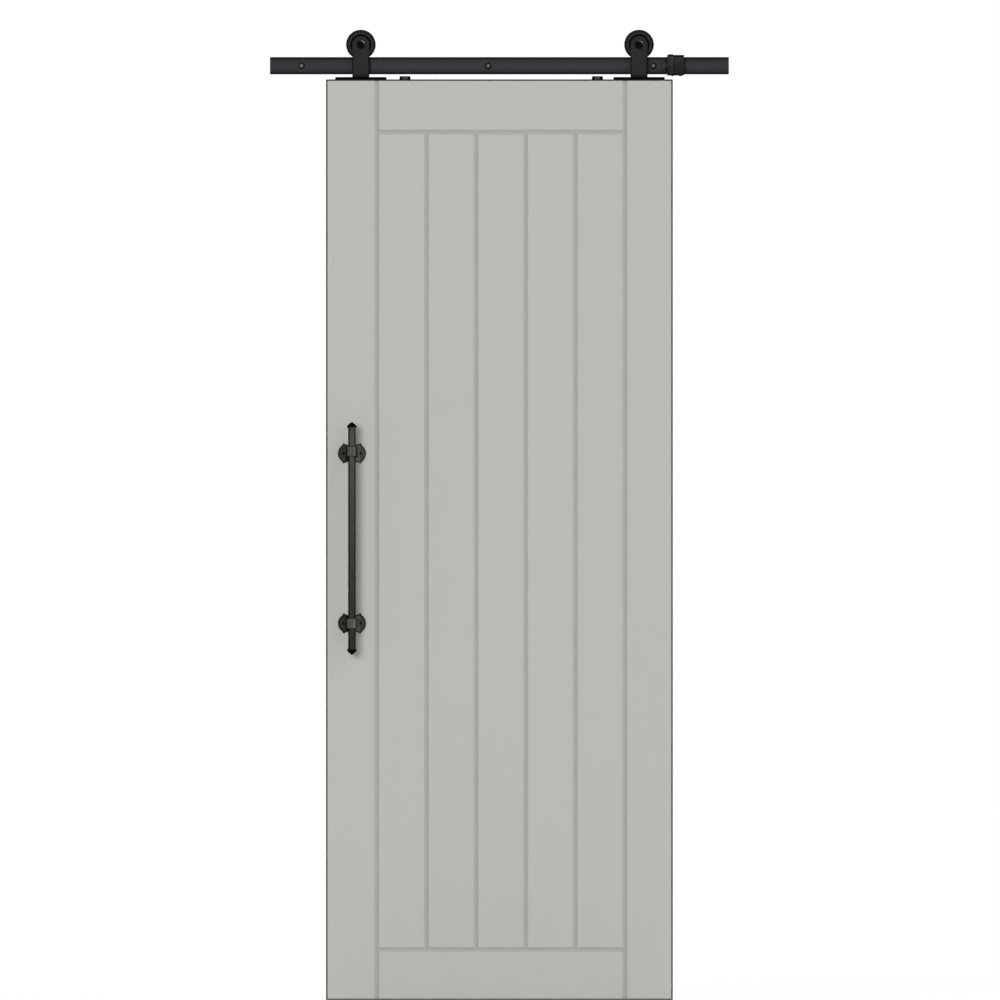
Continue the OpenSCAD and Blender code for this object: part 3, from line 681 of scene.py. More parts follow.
def band_finish(tint):
    """Dark edging with a faint grain."""
    edging = Finish("edge_band")
    grain = edging.cloud(edging.place(scale=(9, 9, 1)), 90, 3, 0.6)
    patch = edging.cloud(edging.place(), 6)
    return edging.surface(
        colour=edging.shade(tint, 0.14 + 0.1 * grain + patch.sway(0.03)),
        rough=0.72 + 0.15 * grain,
        gloss=0.08,
        normal=edging.bump(grain, 0.0001, 0.5),
    )


def rail_coat(tint, low, high):
    """Dark powder coat, in shares of the rail's half size: painted shade darkens it towards the top and the foot
    and draws a dark line along each, and it is darker towards the ends.
    """
    coat = Finish("rail_coat")
    half = (high - low) / 2
    peel = coat.peel(0.0016)
    patch = coat.cloud(coat.place(scale=(1, 3, 3)), 14, 3)
    spot = coat.place((low + high) / 2, (1 / half.x, 1, 1 / half.z))
    across, height = (abs(coat.along(spot, axis)) for axis in (X, Z))
    # Thin dark lines of painted shade just inside the top and the foot
    line = coat.rise(height, 0.76, 0.8) * coat.rise(height, 0.94, 0.9)
    # Painted shade towards the top and the foot
    tone = (0.88 + 0.24 * patch) * coat.rise(height, 0.1, 0.825, 1.03, 0.62)
    # Darker towards the ends, then the lines of painted shade
    tone = tone * coat.rise(across, 0.5, 1, 1, 0.86) * (1 - 0.95 * line)
    return coat.surface(
        colour=coat.shade(tint, tone),
        rough=0.58 + peel.sway(0.18) + patch.sway(0.12),
        gloss=0.06,
        normal=coat.bump(peel, 0.0002, 0.35),
    )


def black_coat(name, tint, depth=0.8, foot=None):
    """Black coat with patchy tone, painted shade on its rounded edges and borders, darker faces where the tone
    mark says so, painted highlights of pale metal on marked spots, and painted shade towards the foot.
    """
    highlight_grey = (0.15, 0.15, 0.155)
    # Heights over which the dark border of painted shade fades and the painted shade at the foot ends
    border_end, foot_end = (0.045, 0.06), (0, 0.009)
    coat = Finish(name)
    peel = coat.peel()
    patch = coat.cloud(coat.place(), 35, 4, 0.6)
    # The edge mark paints shade on rounded edges and borders
    edge = depth * coat.mark("edge")
    tone = (0.8 + 0.4 * patch) * (1 - coat.mark("tone"))
    if foot is not None:
        height = coat.along(coat.place((0, 0, foot)), Z)
        edge = edge * coat.rise(height, *border_end, 1, 0.2)
        tone = tone * coat.rise(height, *foot_end, 0.45, 1)
    # The mark read here paints a highlight of pale metal
    painted_highlight = coat.mark("highlight") * coat.rise(peel, 0.3, 0.5, 0.75, 1)
    return coat.surface(
        colour=coat.blend(painted_highlight, coat.shade(tint, tone * (1 - edge)), highlight_grey),
        rough=0.55 + peel.sway(0.16) + patch.sway(0.2),
        gloss=0.02,
        normal=coat.bump(peel, 0.00018, 0.35),
    )


def wheel_nylon(name, tint, centre):
    """Turned black nylon: fine rings about the axle, painted shade in the dish, a ring of painted highlight at the
    dish's outer edge and painted shade on the outer rim.
    """
    # Radii over which the painted shade of the dish ends, the painted highlight starts and ends, and the painted
    # shade of the rim starts
    dish, highlight_ring_in, highlight_ring_out, rim = (0.0243, 0.025), (0.0248, 0.0253), (0.027, 0.026), (0.0301, 0.0311)
    nylon = Finish(name)
    away = nylon.vector("LENGTH", nylon.place(centre, (1, 0, 1)), {}, "Value")
    rings = nylon.cloud(nylon.node("ShaderNodeCombineXYZ", None, {0: away}), 1700, 3)
    patch = nylon.cloud(nylon.place(centre), 60, 3)
    highlight_ring = nylon.rise(away, *highlight_ring_in) * nylon.rise(away, *highlight_ring_out)
    tone = (1 + 0.5 * patch) * (1 + 0.6 * highlight_ring)
    tone = tone * nylon.rise(away, *rim, 1, 0.03) * nylon.rise(away, *dish, 0.04, 1)
    return nylon.surface(
        colour=nylon.shade(tint, tone),
        rough=0.5 + rings.sway(0.12) + patch.sway(0.12),
        gloss=0.025,
        normal=nylon.bump(rings, 0.00008, 0.4),
    )


def disc_nylon(name, tint, centre):
    """Black nylon of a disc, with a band of painted highlight down its middle and painted shade towards its left
    and right.
    """
    # Distances from the middle over which the painted highlight gives way to painted shade
    highlight_band = (0.005, 0.0076)
    nylon = Finish(name)
    spot = nylon.place(centre)
    mottle = nylon.cloud(spot, 180, 3, 0.6)
    tone = (0.5 + mottle) * nylon.rise(abs(nylon.along(spot, X)), *highlight_band, 2.8, 0)
    return nylon.surface(
        colour=nylon.shade(tint, tone),
        rough=0.5 + mottle.sway(0.2),
        gloss=0.02,
        normal=nylon.bump(mottle, 0.0001, 0.4),
    )


def stop_coat(tint, low, high, head_w):
    """Black coat of the stop, with bands of painted shade along its top and foot, darker towards the foot, paler
    across the head up to the step and with a dark line just past the step.
    """
    # Along X: where the head starts to get paler, the width of the change at the step, the line past it
    head_start, step, line_out, line_in = 0.002, 0.0004, 0.0046, 0.0024
    # Along Z: how much higher the head's dark top starts, then the dark top and the dark foot, both painted shade
    head_brow, brow_out, brow_in, sill_out, sill_in = 0.0023, 0.0065, 0.0053, 0.002, 0.0038
    coat = Finish("stop_coat")
    peel = coat.peel()
    patch = coat.cloud(coat.place(), 35, 4, 0.6)
    across = coat.along(coat.place(low), X)
    height = coat.along(coat.place(), Z)
    head = coat.rise(across, head_start, head_w, 1, 1.5)
    grip = coat.rise(across, head_w, head_w + step)
    line = grip * coat.rise(across, head_w + line_out, head_w + line_in)
    tone = (0.8 + 0.4 * patch) * coat.rise(height, low.z, high.z, 0.6, 1.3)
    tone = tone * (head + (1 - head) * grip) * (1 - 0.45 * line)
    brow = coat.rise(height - head_brow * (1 - grip), high.z - brow_out, high.z - brow_in, 1, 0.05)
    tone = tone * brow * coat.rise(height, low.z + sill_out, low.z + sill_in, 0.05, 1)
    return coat.surface(
        colour=coat.shade(tint, tone),
        rough=0.55 + peel.sway(0.16) + patch.sway(0.2),
        gloss=0.03,
        normal=coat.bump(peel, 0.00018, 0.35),
    )


def axle_coat(tint):
    """Black coat of the axle heads, with a painted highlight on one side of the rim: there it is pale metal with
    low roughness, so it also catches the glint light.
    """
    highlight_metal = (0.26, 0.26, 0.27)
    coat = Finish("axle_coat")
    peel = coat.peel()
    bare_highlight = coat.mark("highlight")
    return coat.surface(
        colour=coat.blend(bare_highlight, coat.shade(tint, 0.1 + 0.1 * peel), highlight_metal),
        metal=bare_highlight,
        rough=0.5 - 0.22 * bare_highlight + peel.sway(0.12),
        gloss=0.02,
        normal=coat.bump(peel, 0.0001, 0.3),
    )


def rubber(tint):
    """Dull black rubber."""
    gum = Finish("buffer_rubber")
    grit = gum.cloud(gum.place(), 1200)
    return gum.surface(
        colour=gum.shade(tint, 0.8 + 0.4 * grit),
        rough=0.75 + 0.1 * grit,
        gloss=0.01,
        normal=gum.bump(grit, 0.0001, 0.3),
    )


def steel(tint):
    """Bright steel with fine tool marks and a film of oil."""
    bright = Finish("bearing_steel")
    marks = bright.cloud(bright.place(scale=(1, 14, 1)), 260, 4, 0.65)
    patch = bright.cloud(bright.place(), 90, 3)
    return bright.surface(
        colour=bright.shade(tint, 0.85 + 0.3 * patch),
        metal=1,
        rough=0.26 + 0.16 * marks + 0.1 * patch,
        normal=bright.bump(marks, 0.00004, 0.4),
    )


def dowel_wood(tint):
    """Bare beech with fine flecks."""
    wood = Finish("dowel_wood")
    grain = wood.cloud(wood.place(scale=(1, 16, 16)), 60, 4, 0.6)
    return wood.surface(
        colour=wood.shade(tint, 0.8 + 0.4 * grain),
        rough=0.6 + 0.2 * grain,
        normal=wood.bump(grain, 0.0001, 0.5),
    )


def iron_base(name, tint, size):
    """Hammered iron before its tones: the finish, its colour and its rough tone."""
    red, green, blue = tint
    brown, grey = (red, green, 0.9 * blue), (0.94 * red, green, 1.06 * blue)
    iron = Finish(name)
    spot = iron.place()
    cells = {"Vector": spot, "Scale": 1 / size}
    marks = iron.node("ShaderNodeTexVoronoi", {"feature": "SMOOTH_F1"}, cells)
    pits = iron.cloud(spot, 330, 4, 0.65)
    patch = iron.cloud(spot, 75, 4, 0.6)
    # The tone and edge marks paint shade: on the finials' slopes, the collars' right sides, the rounded edges and
    # the plates' rims. The third mark paints light.
    tone = (0.1 + 0.75 * patch + pits) * (1 - 0.25 * marks) * (1 - iron.mark("tone"))
    tone = tone * (1 - 0.85 * iron.mark("edge")) * (1 + iron.mark("highlight"))
    iron.surface(
        rough=0.5 + pits.sway(0.2) + patch.sway(0.16),
        gloss=0.04,
        normal=iron.bump(0.75 * marks + 0.12 * pits, 0.0006, 0.5),
    )
    return iron, iron.blend(iron.cloud(spot, 32), grey, brown), tone


def bar_iron(tint, size, centre):
    """Iron of the bar, with painted shade along the edges of its front and on its other faces, darker towards the
    foot and paler towards the top.
    """
    # From the bar's middle: where its front starts, where the painted shade lies on both sides, and its half
    # length
    skin, left, right, end = (-0.0074, -0.008), (-0.0062, -0.0046), (0.0048, 0.006), 0.27
    iron, base, tone = iron_base("bar_iron", tint, size)
    across, depth, height = (iron.along(iron.place(centre), axis) for axis in (X, Y, Z))
    painted_shade = iron.rise(across, *left, 0.1, 0.97) * iron.rise(across, *right, 1, 0.5)
    tone = tone * (0.6 + (painted_shade - 0.6) * iron.rise(depth, *skin))
    tone = tone * iron.rise(height, -end, end, 0.58, 1.4)
    return iron.surface(colour=iron.shade(base, tone))


def bracket_iron(tint, size, centre, leaf_front):
    """Iron of the brackets: painted shade beside the stem on the left and in a strip beside each collar, painted
    light on the right half of the plate, and a painted highlight along the right of the collar's front.
    """
    # How far the plates' tones reach in front of the leaf, then ranges along X from the bar's middle for the
    # painted shade, the painted light and the painted highlight
    skin, painted_shade, lit_side, glint = (0.01, 0.005), (-0.0168, -0.013), (0.0118, 0.0228), (0.0036, 0.0052)
    # The dark strip of painted shade beside each collar: its side, its ends and the height of its middle
    strip_side, strip_end, strip_z = (0.0138, 0.0128), (0.0125, 0.0115), 0.1995
    # Half the width of the change from left to right, and of that from the lower bracket to the upper
    middle_x, middle_z = 0.002, 0.02
    iron, base, tone = iron_base("bracket_iron", tint, size)
    across, height = (iron.along(iron.place(centre), axis) for axis in (X, Z))

    def lower_to_upper(lower, upper):
        """One number for the lower bracket and another for the upper."""
        return iron.rise(height, -middle_z, middle_z, lower, upper)

    plate = iron.rise(iron.along(iron.place(), Y), leaf_front - skin[0], leaf_front - skin[1])
    # Painted shade on the plate's left half near the stem
    left = iron.rise(across, *painted_shade, 0.78, 0.08)
    # Painted light on the plate's right half, strongest near the stem where the bar's shadow falls
    right = iron.rise(across, *lit_side, 5, 1.4)
    strip = iron.rise(across, *strip_side) * iron.rise(abs(abs(height) - strip_z), *strip_end)
    right = right * (1 - strip * lower_to_upper(0.6, 0.9))
    flat = left + (right - left) * iron.rise(across, -middle_x, middle_x)
    flat = flat * lower_to_upper(0.72, 1)
    # A painted highlight on the right of the collar's front
    collar = iron.rise(across, *glint, 1.45, 2.6) * lower_to_upper(1.25, 1)
    return iron.surface(colour=iron.shade(base, tone * (collar + (flat - collar) * plate)))


# Pieces


class BARN_OT_boards(bpy.types.Operator):
    """Builds the stiles, rails and planks of the leaf"""

    bl_idname = "barn_door.boards"
    bl_label = "Boards"

    def board(self, leaf, node, low, high, joints, paint, tone):
        """One board, with half of a V groove on each side that joins another."""
        bm = start()
        block(bm, low, high)
        ends = (low, high)
        vees = [
            edge
            for axis, end in (SIDES[joint] for joint in joints)
            for edge in bm.edges
            if lies(edge, axis, ends[end][axis]) and reach(edge, Y) < TINY
        ]
        bevel(bm, vees, leaf.vee_depth, 1)
        arrises = [edge for edge in sharp(bm.edges, 20) if any(lies(edge, Y, end.y) for end in ends)]
        soften(bm, arrises, leaf.arris)
        mark(bm, bm.faces, "tone", tone)
        bm.normal_update()
        # Paints light onto the V slopes that face right and shade onto those that face left, over the board's own
        # tone
        for way, change in ((1, leaf.vee_painted_light), (-1, -leaf.vee_painted_shade)):
            slope = Vector((way, -1, 0)).normalized()
            mark(bm, [face for face in bm.faces if face.normal.dot(slope) > 0.98], "tone", tone + change)
        piece(bm, node + "_board", "door", paint, [node])

    def execute(self, context):
        leaf = context.scene.barn_leaf
        upright = leaf_paint("leaf_paint_upright", leaf.paint, Z)
        level = leaf_paint("leaf_paint_level", leaf.paint, X)
        # Sides that join another board, paint and tone
        boards = {
            "left_stile": (["right"], upright, 0.004),
            "right_stile": (["left"], upright, -0.004),
            "top_rail": (["left", "right", "foot"], level, 0.002),
            "bottom_rail": (["left", "right", "top"], level, -0.003),
        }
        for node, (joints, paint, tone) in boards.items():
            self.board(leaf, node, *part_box(node), joints, paint, tone)
        left, right, top, foot = (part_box(node) for node in boards)
        plank_tones = (0.003, -0.005, 0, 0.004, -0.002)
        width = (right[0].x - left[1].x) / len(plank_tones)
        for number, tone in enumerate(plank_tones):
            low = Vector((left[1].x + number * width, left[0].y, foot[1].z))
            high = Vector((low.x + width, left[1].y, top[0].z))
            self.board(leaf, f"plank_{number + 1}", low, high, SIDES, upright, tone)
        dress(["frame_dowels"], dowel_wood(COLOURS["dowel_wood"]))
        return {"FINISHED"}


class BARN_OT_bands(bpy.types.Operator):
    """Builds the dark edging round the leaf"""

    bl_idname = "barn_door.bands"
    bl_label = "Edge bands"

    def execute(self, context):
        leaf = context.scene.barn_leaf
        edging = band_finish(leaf.band)
        for node in ("left_band", "right_band", "top_band", "bottom_band"):
            bm = start()
            eased_block(bm, *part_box(node), leaf.band_edge)
            piece(bm, node + "_strip", "door", edging, [node])
        return {"FINISHED"}


class BARN_OT_rail(bpy.types.Operator):
    """Builds the flat rail and its spacers"""

    bl_idname = "barn_door.rail"
    bl_label = "Rail"

    def execute(self, context):
        track = context.scene.barn_track
        bm = start()
        low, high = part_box("rail")
        eased_block(bm, low, high, track.rail_edge)
        piece(bm, "rail_bar", "track", rail_coat(track.rail, low, high), ["rail"])
        low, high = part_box("rail_spacers")
        radius, span = high.z, high.y - low.y
        bore, edge, tool_edge = track.spacer_bore, track.spacer_edge, 0.0003
        tube = [
            (bore, 0),
            (radius - edge, 0),
            (radius, edge),
            (radius, span - edge),
            (radius - edge, span),
            (bore, span),
        ]
        bm = start()
        for spot in bolt_spots():
            turned(bm, tube, Matrix.Translation((spot, 0, 0)) @ FRONT, closed=True, radius=tool_edge)
        coat = black_coat("spacer_coat", track.coat)
        piece(bm, "spacer_tubes", "track", coat, ["rail_spacers"])
        return {"FINISHED"}


class BARN_OT_rail_bolts(bpy.types.Operator):
    """Builds the wall bolts with hex heads and threaded ends"""

    bl_idname = "barn_door.rail_bolts"
    bl_label = "Rail bolts"

    def execute(self, context):
        track = context.scene.barn_track
        low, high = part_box("rail_bolts")
        grip = -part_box("rail")[0].y
        head, tip = -low.y, high.y
        root, shank, point, neck = track.thread_root, track.bolt_shank, track.bolt_point, 0.001
        # Share of the crown, the head's painted shade and the crown's painted highlight
        crown_share, painted_shade, painted_highlight = 0.64, 0.9, 0.85
        bm = start()
        spots = bolt_spots()
        place = Matrix.Translation((spots[0], 0, 0)) @ FRONT
        hex_solid(bm, track.bolt_head, grip, head, place @ HALF_SIDE, crown_share)
        # The head is painted dark as shade on its sides, and its crown painted pale as a highlight
        crown = [face for face in bm.faces if face.calc_center_median().y < NEAR - head]
        mark(bm, bm.faces, "tone", painted_shade)
        mark(bm, crown, "highlight", painted_highlight)
        body = [(0, grip), (shank, grip), (shank, 0), (root, -neck), (root, point - tip), (0, -tip)]
        turned(bm, body, place, steps=32)
        pitch = track.thread_pitch
        turns = int((tip - point) / pitch) - 1
        climb = place @ Matrix.Translation((0, 0, point - tip))
        thread(bm, root, track.thread_crest, pitch, turns, climb)
        repeat(bm, [(spot - spots[0], 0, 0) for spot in spots[1:]])
        coat = black_coat("bolt_coat", track.coat, 0.3)
        piece(bm, "wall_bolts", "track", coat, ["rail_bolts"], 25)
        return {"FINISHED"}


class BARN_OT_stop(bpy.types.Operator):
    """Builds the end stop with its buffers and set screws"""

    bl_idname = "barn_door.stop"
    bl_label = "Stop"

    def clamp(self, track):
        """The block, with a step on top and a chamfer at its upper left."""
        low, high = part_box("stop_clamp")
        head_w, nose = track.stop_head, track.stop_nose
        grip_top = high.z - track.stop_step
        corners = [
            (low.x, low.z),
            (high.x, low.z),
            (high.x, grip_top),
            (low.x + head_w, grip_top),
            (low.x + head_w, high.z),
            (low.x + nose, high.z),
            (low.x, high.z - nose),
        ]
        bm = start()
        points = [bm.verts.new((x, low.y, z)) for x, z in corners]
        lines = [bm.edges.new(pair) for pair in zip(points, points[1:] + points[:1])]
        points = thicken(bm, lines, (0, high.y - low.y, 0))
        soften(bm, sharp(edges_of(points), 20), track.stop_edge)
        bmesh.ops.remove_doubles(bm, verts=bm.verts, dist=2 * NEAR)
        dark_share = 0.52
        coat = stop_coat([dark_share * each for each in track.rail], low, high, head_w)
        piece(bm, "stop_block", "track", coat, ["stop_clamp"])

    def buffers(self, track):
        """The two rubber plugs in the block's left face."""
        low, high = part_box("stop_buffers")
        radius = (high.y - low.y) / 2
        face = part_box("stop_clamp")[0].x
        span = face - low.x
        wall_share, top_share, edge = 0.7, 0.8, 0.0006
        plug = [(0, 0), (radius, 0), (radius, wall_share * span), (top_share * radius, span), (0, span)]
        aside = Matrix.Rotation(math.radians(-90), 4, "Y")
        bm = start()
        for height in (low.z + radius, high.z - radius):
            spot = Matrix.Translation((face, (low.y + high.y) / 2, height))
            turned(bm, plug, spot @ aside, steps=ROUND, radius=edge, segments=3)
        piece(bm, "buffer_plugs", "track", rubber(track.rubber), ["stop_buffers"])

    def set_screws(self, track):
        """The two grub screws that lock the block from below."""
        low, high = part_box("stop_set_screws")
        radius = (high.y - low.y) / 2
        span = high.z - low.z
        edge = 0.0005
        grub = [(0, -span), (radius, -span), (radius, -edge), (radius - edge, 0)]
        over = Matrix.Rotation(math.radians(180), 4, "X")
        bm = start()
        for across in (low.x + radius, high.x - radius):
            spot = Matrix.Translation((across, (low.y + high.y) / 2, low.z)) @ over
            socket_head(bm, grub, spot, track.grub_socket, track.grub_socket / 2)
        coat = black_coat("screw_coat", track.coat)
        piece(bm, "grub_screws", "track", coat, ["stop_set_screws"])

    def execute(self, context):
        track = context.scene.barn_track
        self.clamp(track)
        self.buffers(track)
        self.set_screws(track)
        return {"FINISHED"}


class BARN_OT_hangers(bpy.types.Operator):
    """Builds the straps and base plates of the hangers, with their welds"""

    bl_idname = "barn_door.hangers"
    bl_label = "Hangers"

    def strap(self, bm, settings, axle, half, foot_z):
        """A flat strap, round at the top about the axle."""
        front = -settings.strap_front
        tip = bm.verts.new((axle.x + half, front, axle.z))
        centre = (axle.x, 0, axle.z)
        bmesh.ops.spin(
            bm, geom=[tip], cent=centre, axis=(0, -1, 0), angle=math.pi, steps=40, use_merge=False
        )
        ends = sorted(bm.verts, key=lambda point: abs(point.co.z - axle.z))[:2]
        foot = [bm.verts.new((end.co.x, front, foot_z)) for end in ends]
        for pair in (*zip(ends, foot), foot):
            bm.edges.new(pair)
        points = thicken(bm, bm.edges[:], (0, settings.strap, 0))
        soften(bm, sharp(edges_of(points), 40), settings.strap_edge)
        # A border of painted shade round the strap's front
        border(bm, settings.strap_shade_border)

    def plate(self, bm, settings, low, high):
        """The base plate on the leaf's top edge."""
        edge, side_depth, front_depth = 0.0005, 0.6, 0.97
        before = set(bm.verts)
        points = block(bm, low, high)
        ends = [line for line in edges_of(points) if lies(line, Z, high.z) and reach(line, X) < TINY]
        soften(bm, ends, settings.plate_round, 2)
        soften(bm, sharp(edges_of(added(bm, before)), 40), edge, 2)
        bm.normal_update()
        sides = faces_of(added(bm, before))
        mark(bm, sides, "tone", side_depth)
        mark(bm, [face for face in sides if face.normal.y < -0.3], "tone", front_depth)

    def welds(self, bm, settings, foot, half):
        """The row of weld beads where the strap's back meets the plate."""
        flat, depth = (0.8, 1, 0.9, 1), 0.5
        count = int(2 * half / settings.weld)
        for number in range(1, count):
            before = set(bm.verts)
            spot = foot + Vector((2 * half * number / count - half, 0, 0))
            lump = Matrix.Translation(spot) @ Matrix.Diagonal(flat)
            bmesh.ops.create_uvsphere(bm, u_segments=12, v_segments=8, radius=settings.weld, matrix=lump)
            mark(bm, faces_of(added(bm, before)), "tone", depth)

    def execute(self, context):
        settings = context.scene.barn_hangers
        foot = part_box("left_hanger")[0].z + settings.plate
        pale_share, seat = 1.25, 0.002
        tint = [pale_share * each for each in context.scene.barn_track.coat]
        coat = black_coat("strap_coat", tint, 0.7, foot)
        for side in PAIR:
            node = side + "_hanger"
            axle = axle_spot(side)
            low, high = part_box(node)
            half = high.z - axle.z
            top = low.z + settings.plate
            bm = start()
            self.strap(bm, settings, axle, half, low.z + seat)
            self.plate(bm, settings, low, Vector((high.x, high.y, top)))
            self.welds(bm, settings, Vector((axle.x, settings.strap - settings.strap_front, top)), half)
            piece(bm, node + "_strap", "door", coat, [node], 40)
        return {"FINISHED"}


class BARN_OT_axles(bpy.types.Operator):
    """Builds the axle bolts and nuts, and finishes the bearings"""

    bl_idname = "barn_door.axles"
    bl_label = "Axles"

    def bolts(self, settings, coat, left, move):
        """The button head bolts, with a painted highlight marked on the upper right of their rims."""
        low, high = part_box("axle_bolts")
        strap = -settings.strap_front
        head, tail = strap - low.y, strap - high.y
        shank, rim = settings.axle, settings.axle_head
        tip, socket_depth = 0.001, 0.003
        # Heights and radii along the head's dome, from its rim to the mouth of the socket
        rim_h, brow, brow_h, crown, crown_h, mouth = 0.0036, 0.0095, 0.0041, 0.0077, 0.0052, 0.0046
        outline = [
            (0, tail),
            (shank - tip, tail),
            (shank, tail + tip),
            (shank, 0),
            (rim, 0),
            (rim, rim_h),
            (brow, brow_h),
            (crown, crown_h),
            (mouth, head),
        ]
        place = Matrix.Translation((left.x, strap, left.z)) @ FRONT
        bm = start()
        socket_head(bm, outline, place @ HALF_SIDE, settings.axle_socket, socket_depth)
        bm.normal_update()
        # The rim faces that face the glint light at the upper right get the painted highlight mark
        lit_side = Vector((0.66, 0, 0.75))
        for face in bm.faces:
            if -0.95 < face.normal.y < -0.7:
                aim = Vector((face.normal.x, 0, face.normal.z)).normalized()
                mark(bm, [face], "highlight", max(0, aim.dot(lit_side)) ** 3)
        repeat(bm, [move])
        piece(bm, "axle_button_bolts", "door", coat, ["axle_bolts"], 20)

    def nuts(self, settings, bright, left, move):
        """The lock nuts, each with a round collar."""
        low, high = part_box("axle_nuts")
        place = Matrix.Translation((left.x, low.y, left.z)) @ FRONT.inverted()
        height = high.y - low.y
        hex_top, foot, chamfer_h, tool_edge = height - 0.0024, height - 0.003, height - 0.0008, 0.0003
        bore, wall, rim = 0.0051, 0.0074, 0.0066
        bm = start()
        hex_solid(bm, settings.nut, 0, hex_top, place @ HALF_SIDE)
        collar = [(bore, foot), (wall, foot), (wall, chamfer_h), (rim, height), (bore, height)]
        turned(bm, collar, place, steps=ROUND, closed=True, radius=tool_edge)
        repeat(bm, [move])
        piece(bm, "axle_lock_nuts", "door", bright, ["axle_nuts"], 32)

    def execute(self, context):
        settings = context.scene.barn_hangers
        bright = steel(settings.steel)
        left, right = (axle_spot(side) for side in PAIR)
        self.bolts(settings, axle_coat(context.scene.barn_track.coat), left, right - left)
        self.nuts(settings, bright, left, right - left)
        parts = ("_inner_ring", "_outer_ring", "_shields", "_balls")
        dress(["axle_bushes", *(side + part for side in PAIR for part in parts)], bright)
        return {"FINISHED"}


class BARN_OT_wheels(bpy.types.Operator):
    """Builds the grooved wheels"""

    bl_idname = "barn_door.wheels"
    bl_label = "Wheels"

    def outline(self, settings, rim, groove, half):
        """Radius and height along a wheel's section, from its front round to the bearing's seat."""
        slot, hub, dish = settings.wheel_slot / 2, settings.wheel_hub, half - settings.wheel_dish
        ring_in = rim - settings.wheel_ring
        slope, chamfer, flare = 0.0006, 0.0012, 0.0014
        bore, seat, seat_floor = 0.0115, 0.01302, 0.004
        side = [
            (hub, half),
            (hub + slope, dish),
            (ring_in - slope, dish),
            (ring_in, half),
            (rim - chamfer, half),
            (rim, half - chamfer),
            (rim, slot + flare),
            (groove, slot),
        ]
        back = [(r, -h) for r, h in reversed(side)]
        return [(bore, half), *side, *back, (seat, -half), (seat, seat_floor), (bore, seat_floor)]

    def execute(self, context):
        settings = context.scene.barn_hangers
        for side in PAIR:
            node = side + "_wheel"
            axle = axle_spot(side)
            low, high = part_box(node)
            outline = self.outline(settings, high.z - axle.z, 1 / wheel_ratio(side), (high.y - low.y) / 2)
            bm = start()
            spot = Matrix.Translation(axle) @ FRONT
            turned(bm, outline, spot, steps=96, closed=True, radius=settings.wheel_edge)
            nylon = wheel_nylon(node + "_nylon", settings.nylon, axle)
            piece(bm, node + "_turned", node, nylon, [node])
        return {"FINISHED"}


class BARN_OT_discs(bpy.types.Operator):
    """Builds the anti-jump discs on the top of the leaf"""

    bl_idname = "barn_door.discs"
    bl_label = "Discs"

    def execute(self, context):
        draft, lip, lip_h, sink, edge = 0.0005, 0.0019, 0.0014, 0.0047, 0.0005
        for side in PAIR:
            node = side + "_disc"
            low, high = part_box(node)
            centre = middle(node)
            radius = (high.x - low.x) / 2
            height = high.z - low.z
            outline = [
                (0, 0),
                (radius, 0),
                (radius - draft, height - lip_h),
                (radius - lip, height),
                (sink, height),
                (0, height - sink),
            ]
            bm = start()
            spot = Matrix.Translation((centre.x, centre.y, low.z))
            turned(bm, outline, spot, radius=edge, segments=3)
            nylon = disc_nylon(node + "_nylon", context.scene.barn_hangers.nylon, centre)
            piece(bm, node + "_turned", "door", nylon, [node])
        return {"FINISHED"}


class BARN_OT_screws(bpy.types.Operator):
    """Builds the screws of hangers, discs and handle"""

    bl_idname = "barn_door.screws"
    bl_label = "Screws"

    def screws(self, name, node, coat, settings, span, places):
        """A set of countersunk screws, with their heads level with their places."""
        head, shank = settings.screw_head, settings.screw_shank
        point, lip, mouth_share, sink_share = 0.004, 0.0004, 0.62, 0.6
        outline = [
            (0, -span),
            (shank, point - span),
            (shank, shank - head),
            (head, -lip),
            (head - lip, 0),
            (mouth_share * head, 0),
        ]
        bm = start()
        for place in places:
            socket_head(bm, outline, place, settings.screw_socket, sink_share * head)
        piece(bm, name, "door", coat, [node])

    def execute(self, context):
        coat = black_coat("wood_screw_coat", context.scene.barn_track.coat, 0.2)
        hangers, pull = context.scene.barn_hangers, context.scene.barn_handle
        plates, discs, brackets = [], [], []
        for side in PAIR:
            centre = middle(side + "_hanger")
            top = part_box(side + "_hanger")[0].z + hangers.plate
            for across in (-hangers.screw_x, hangers.screw_x):
                for depth in (-hangers.screw_y, hangers.screw_y):
                    plates.append(Matrix.Translation((centre.x + across, centre.y + depth, top)))
            centre = middle(side + "_disc")
            discs.append(Matrix.Translation((centre.x, centre.y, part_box(side + "_disc")[1].z)))
        for side in ("upper", "lower"):
            centre = middle(side + "_bracket")
            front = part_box(side + "_bracket")[1].y - pull.plate
            for across in (-pull.screw_x, pull.screw_x):
                brackets.append(Matrix.Translation((centre.x + across, front, centre.z)) @ FRONT)
        self.screws("hanger_wood_screws", "hanger_screws", coat, hangers, hangers.plate_screw, plates)
        self.screws("disc_wood_screws", "disc_screws", coat, hangers, hangers.disc_screw, discs)
        self.screws("handle_wood_screws", "handle_screws", coat, pull, pull.screw, brackets)
        return {"FINISHED"}


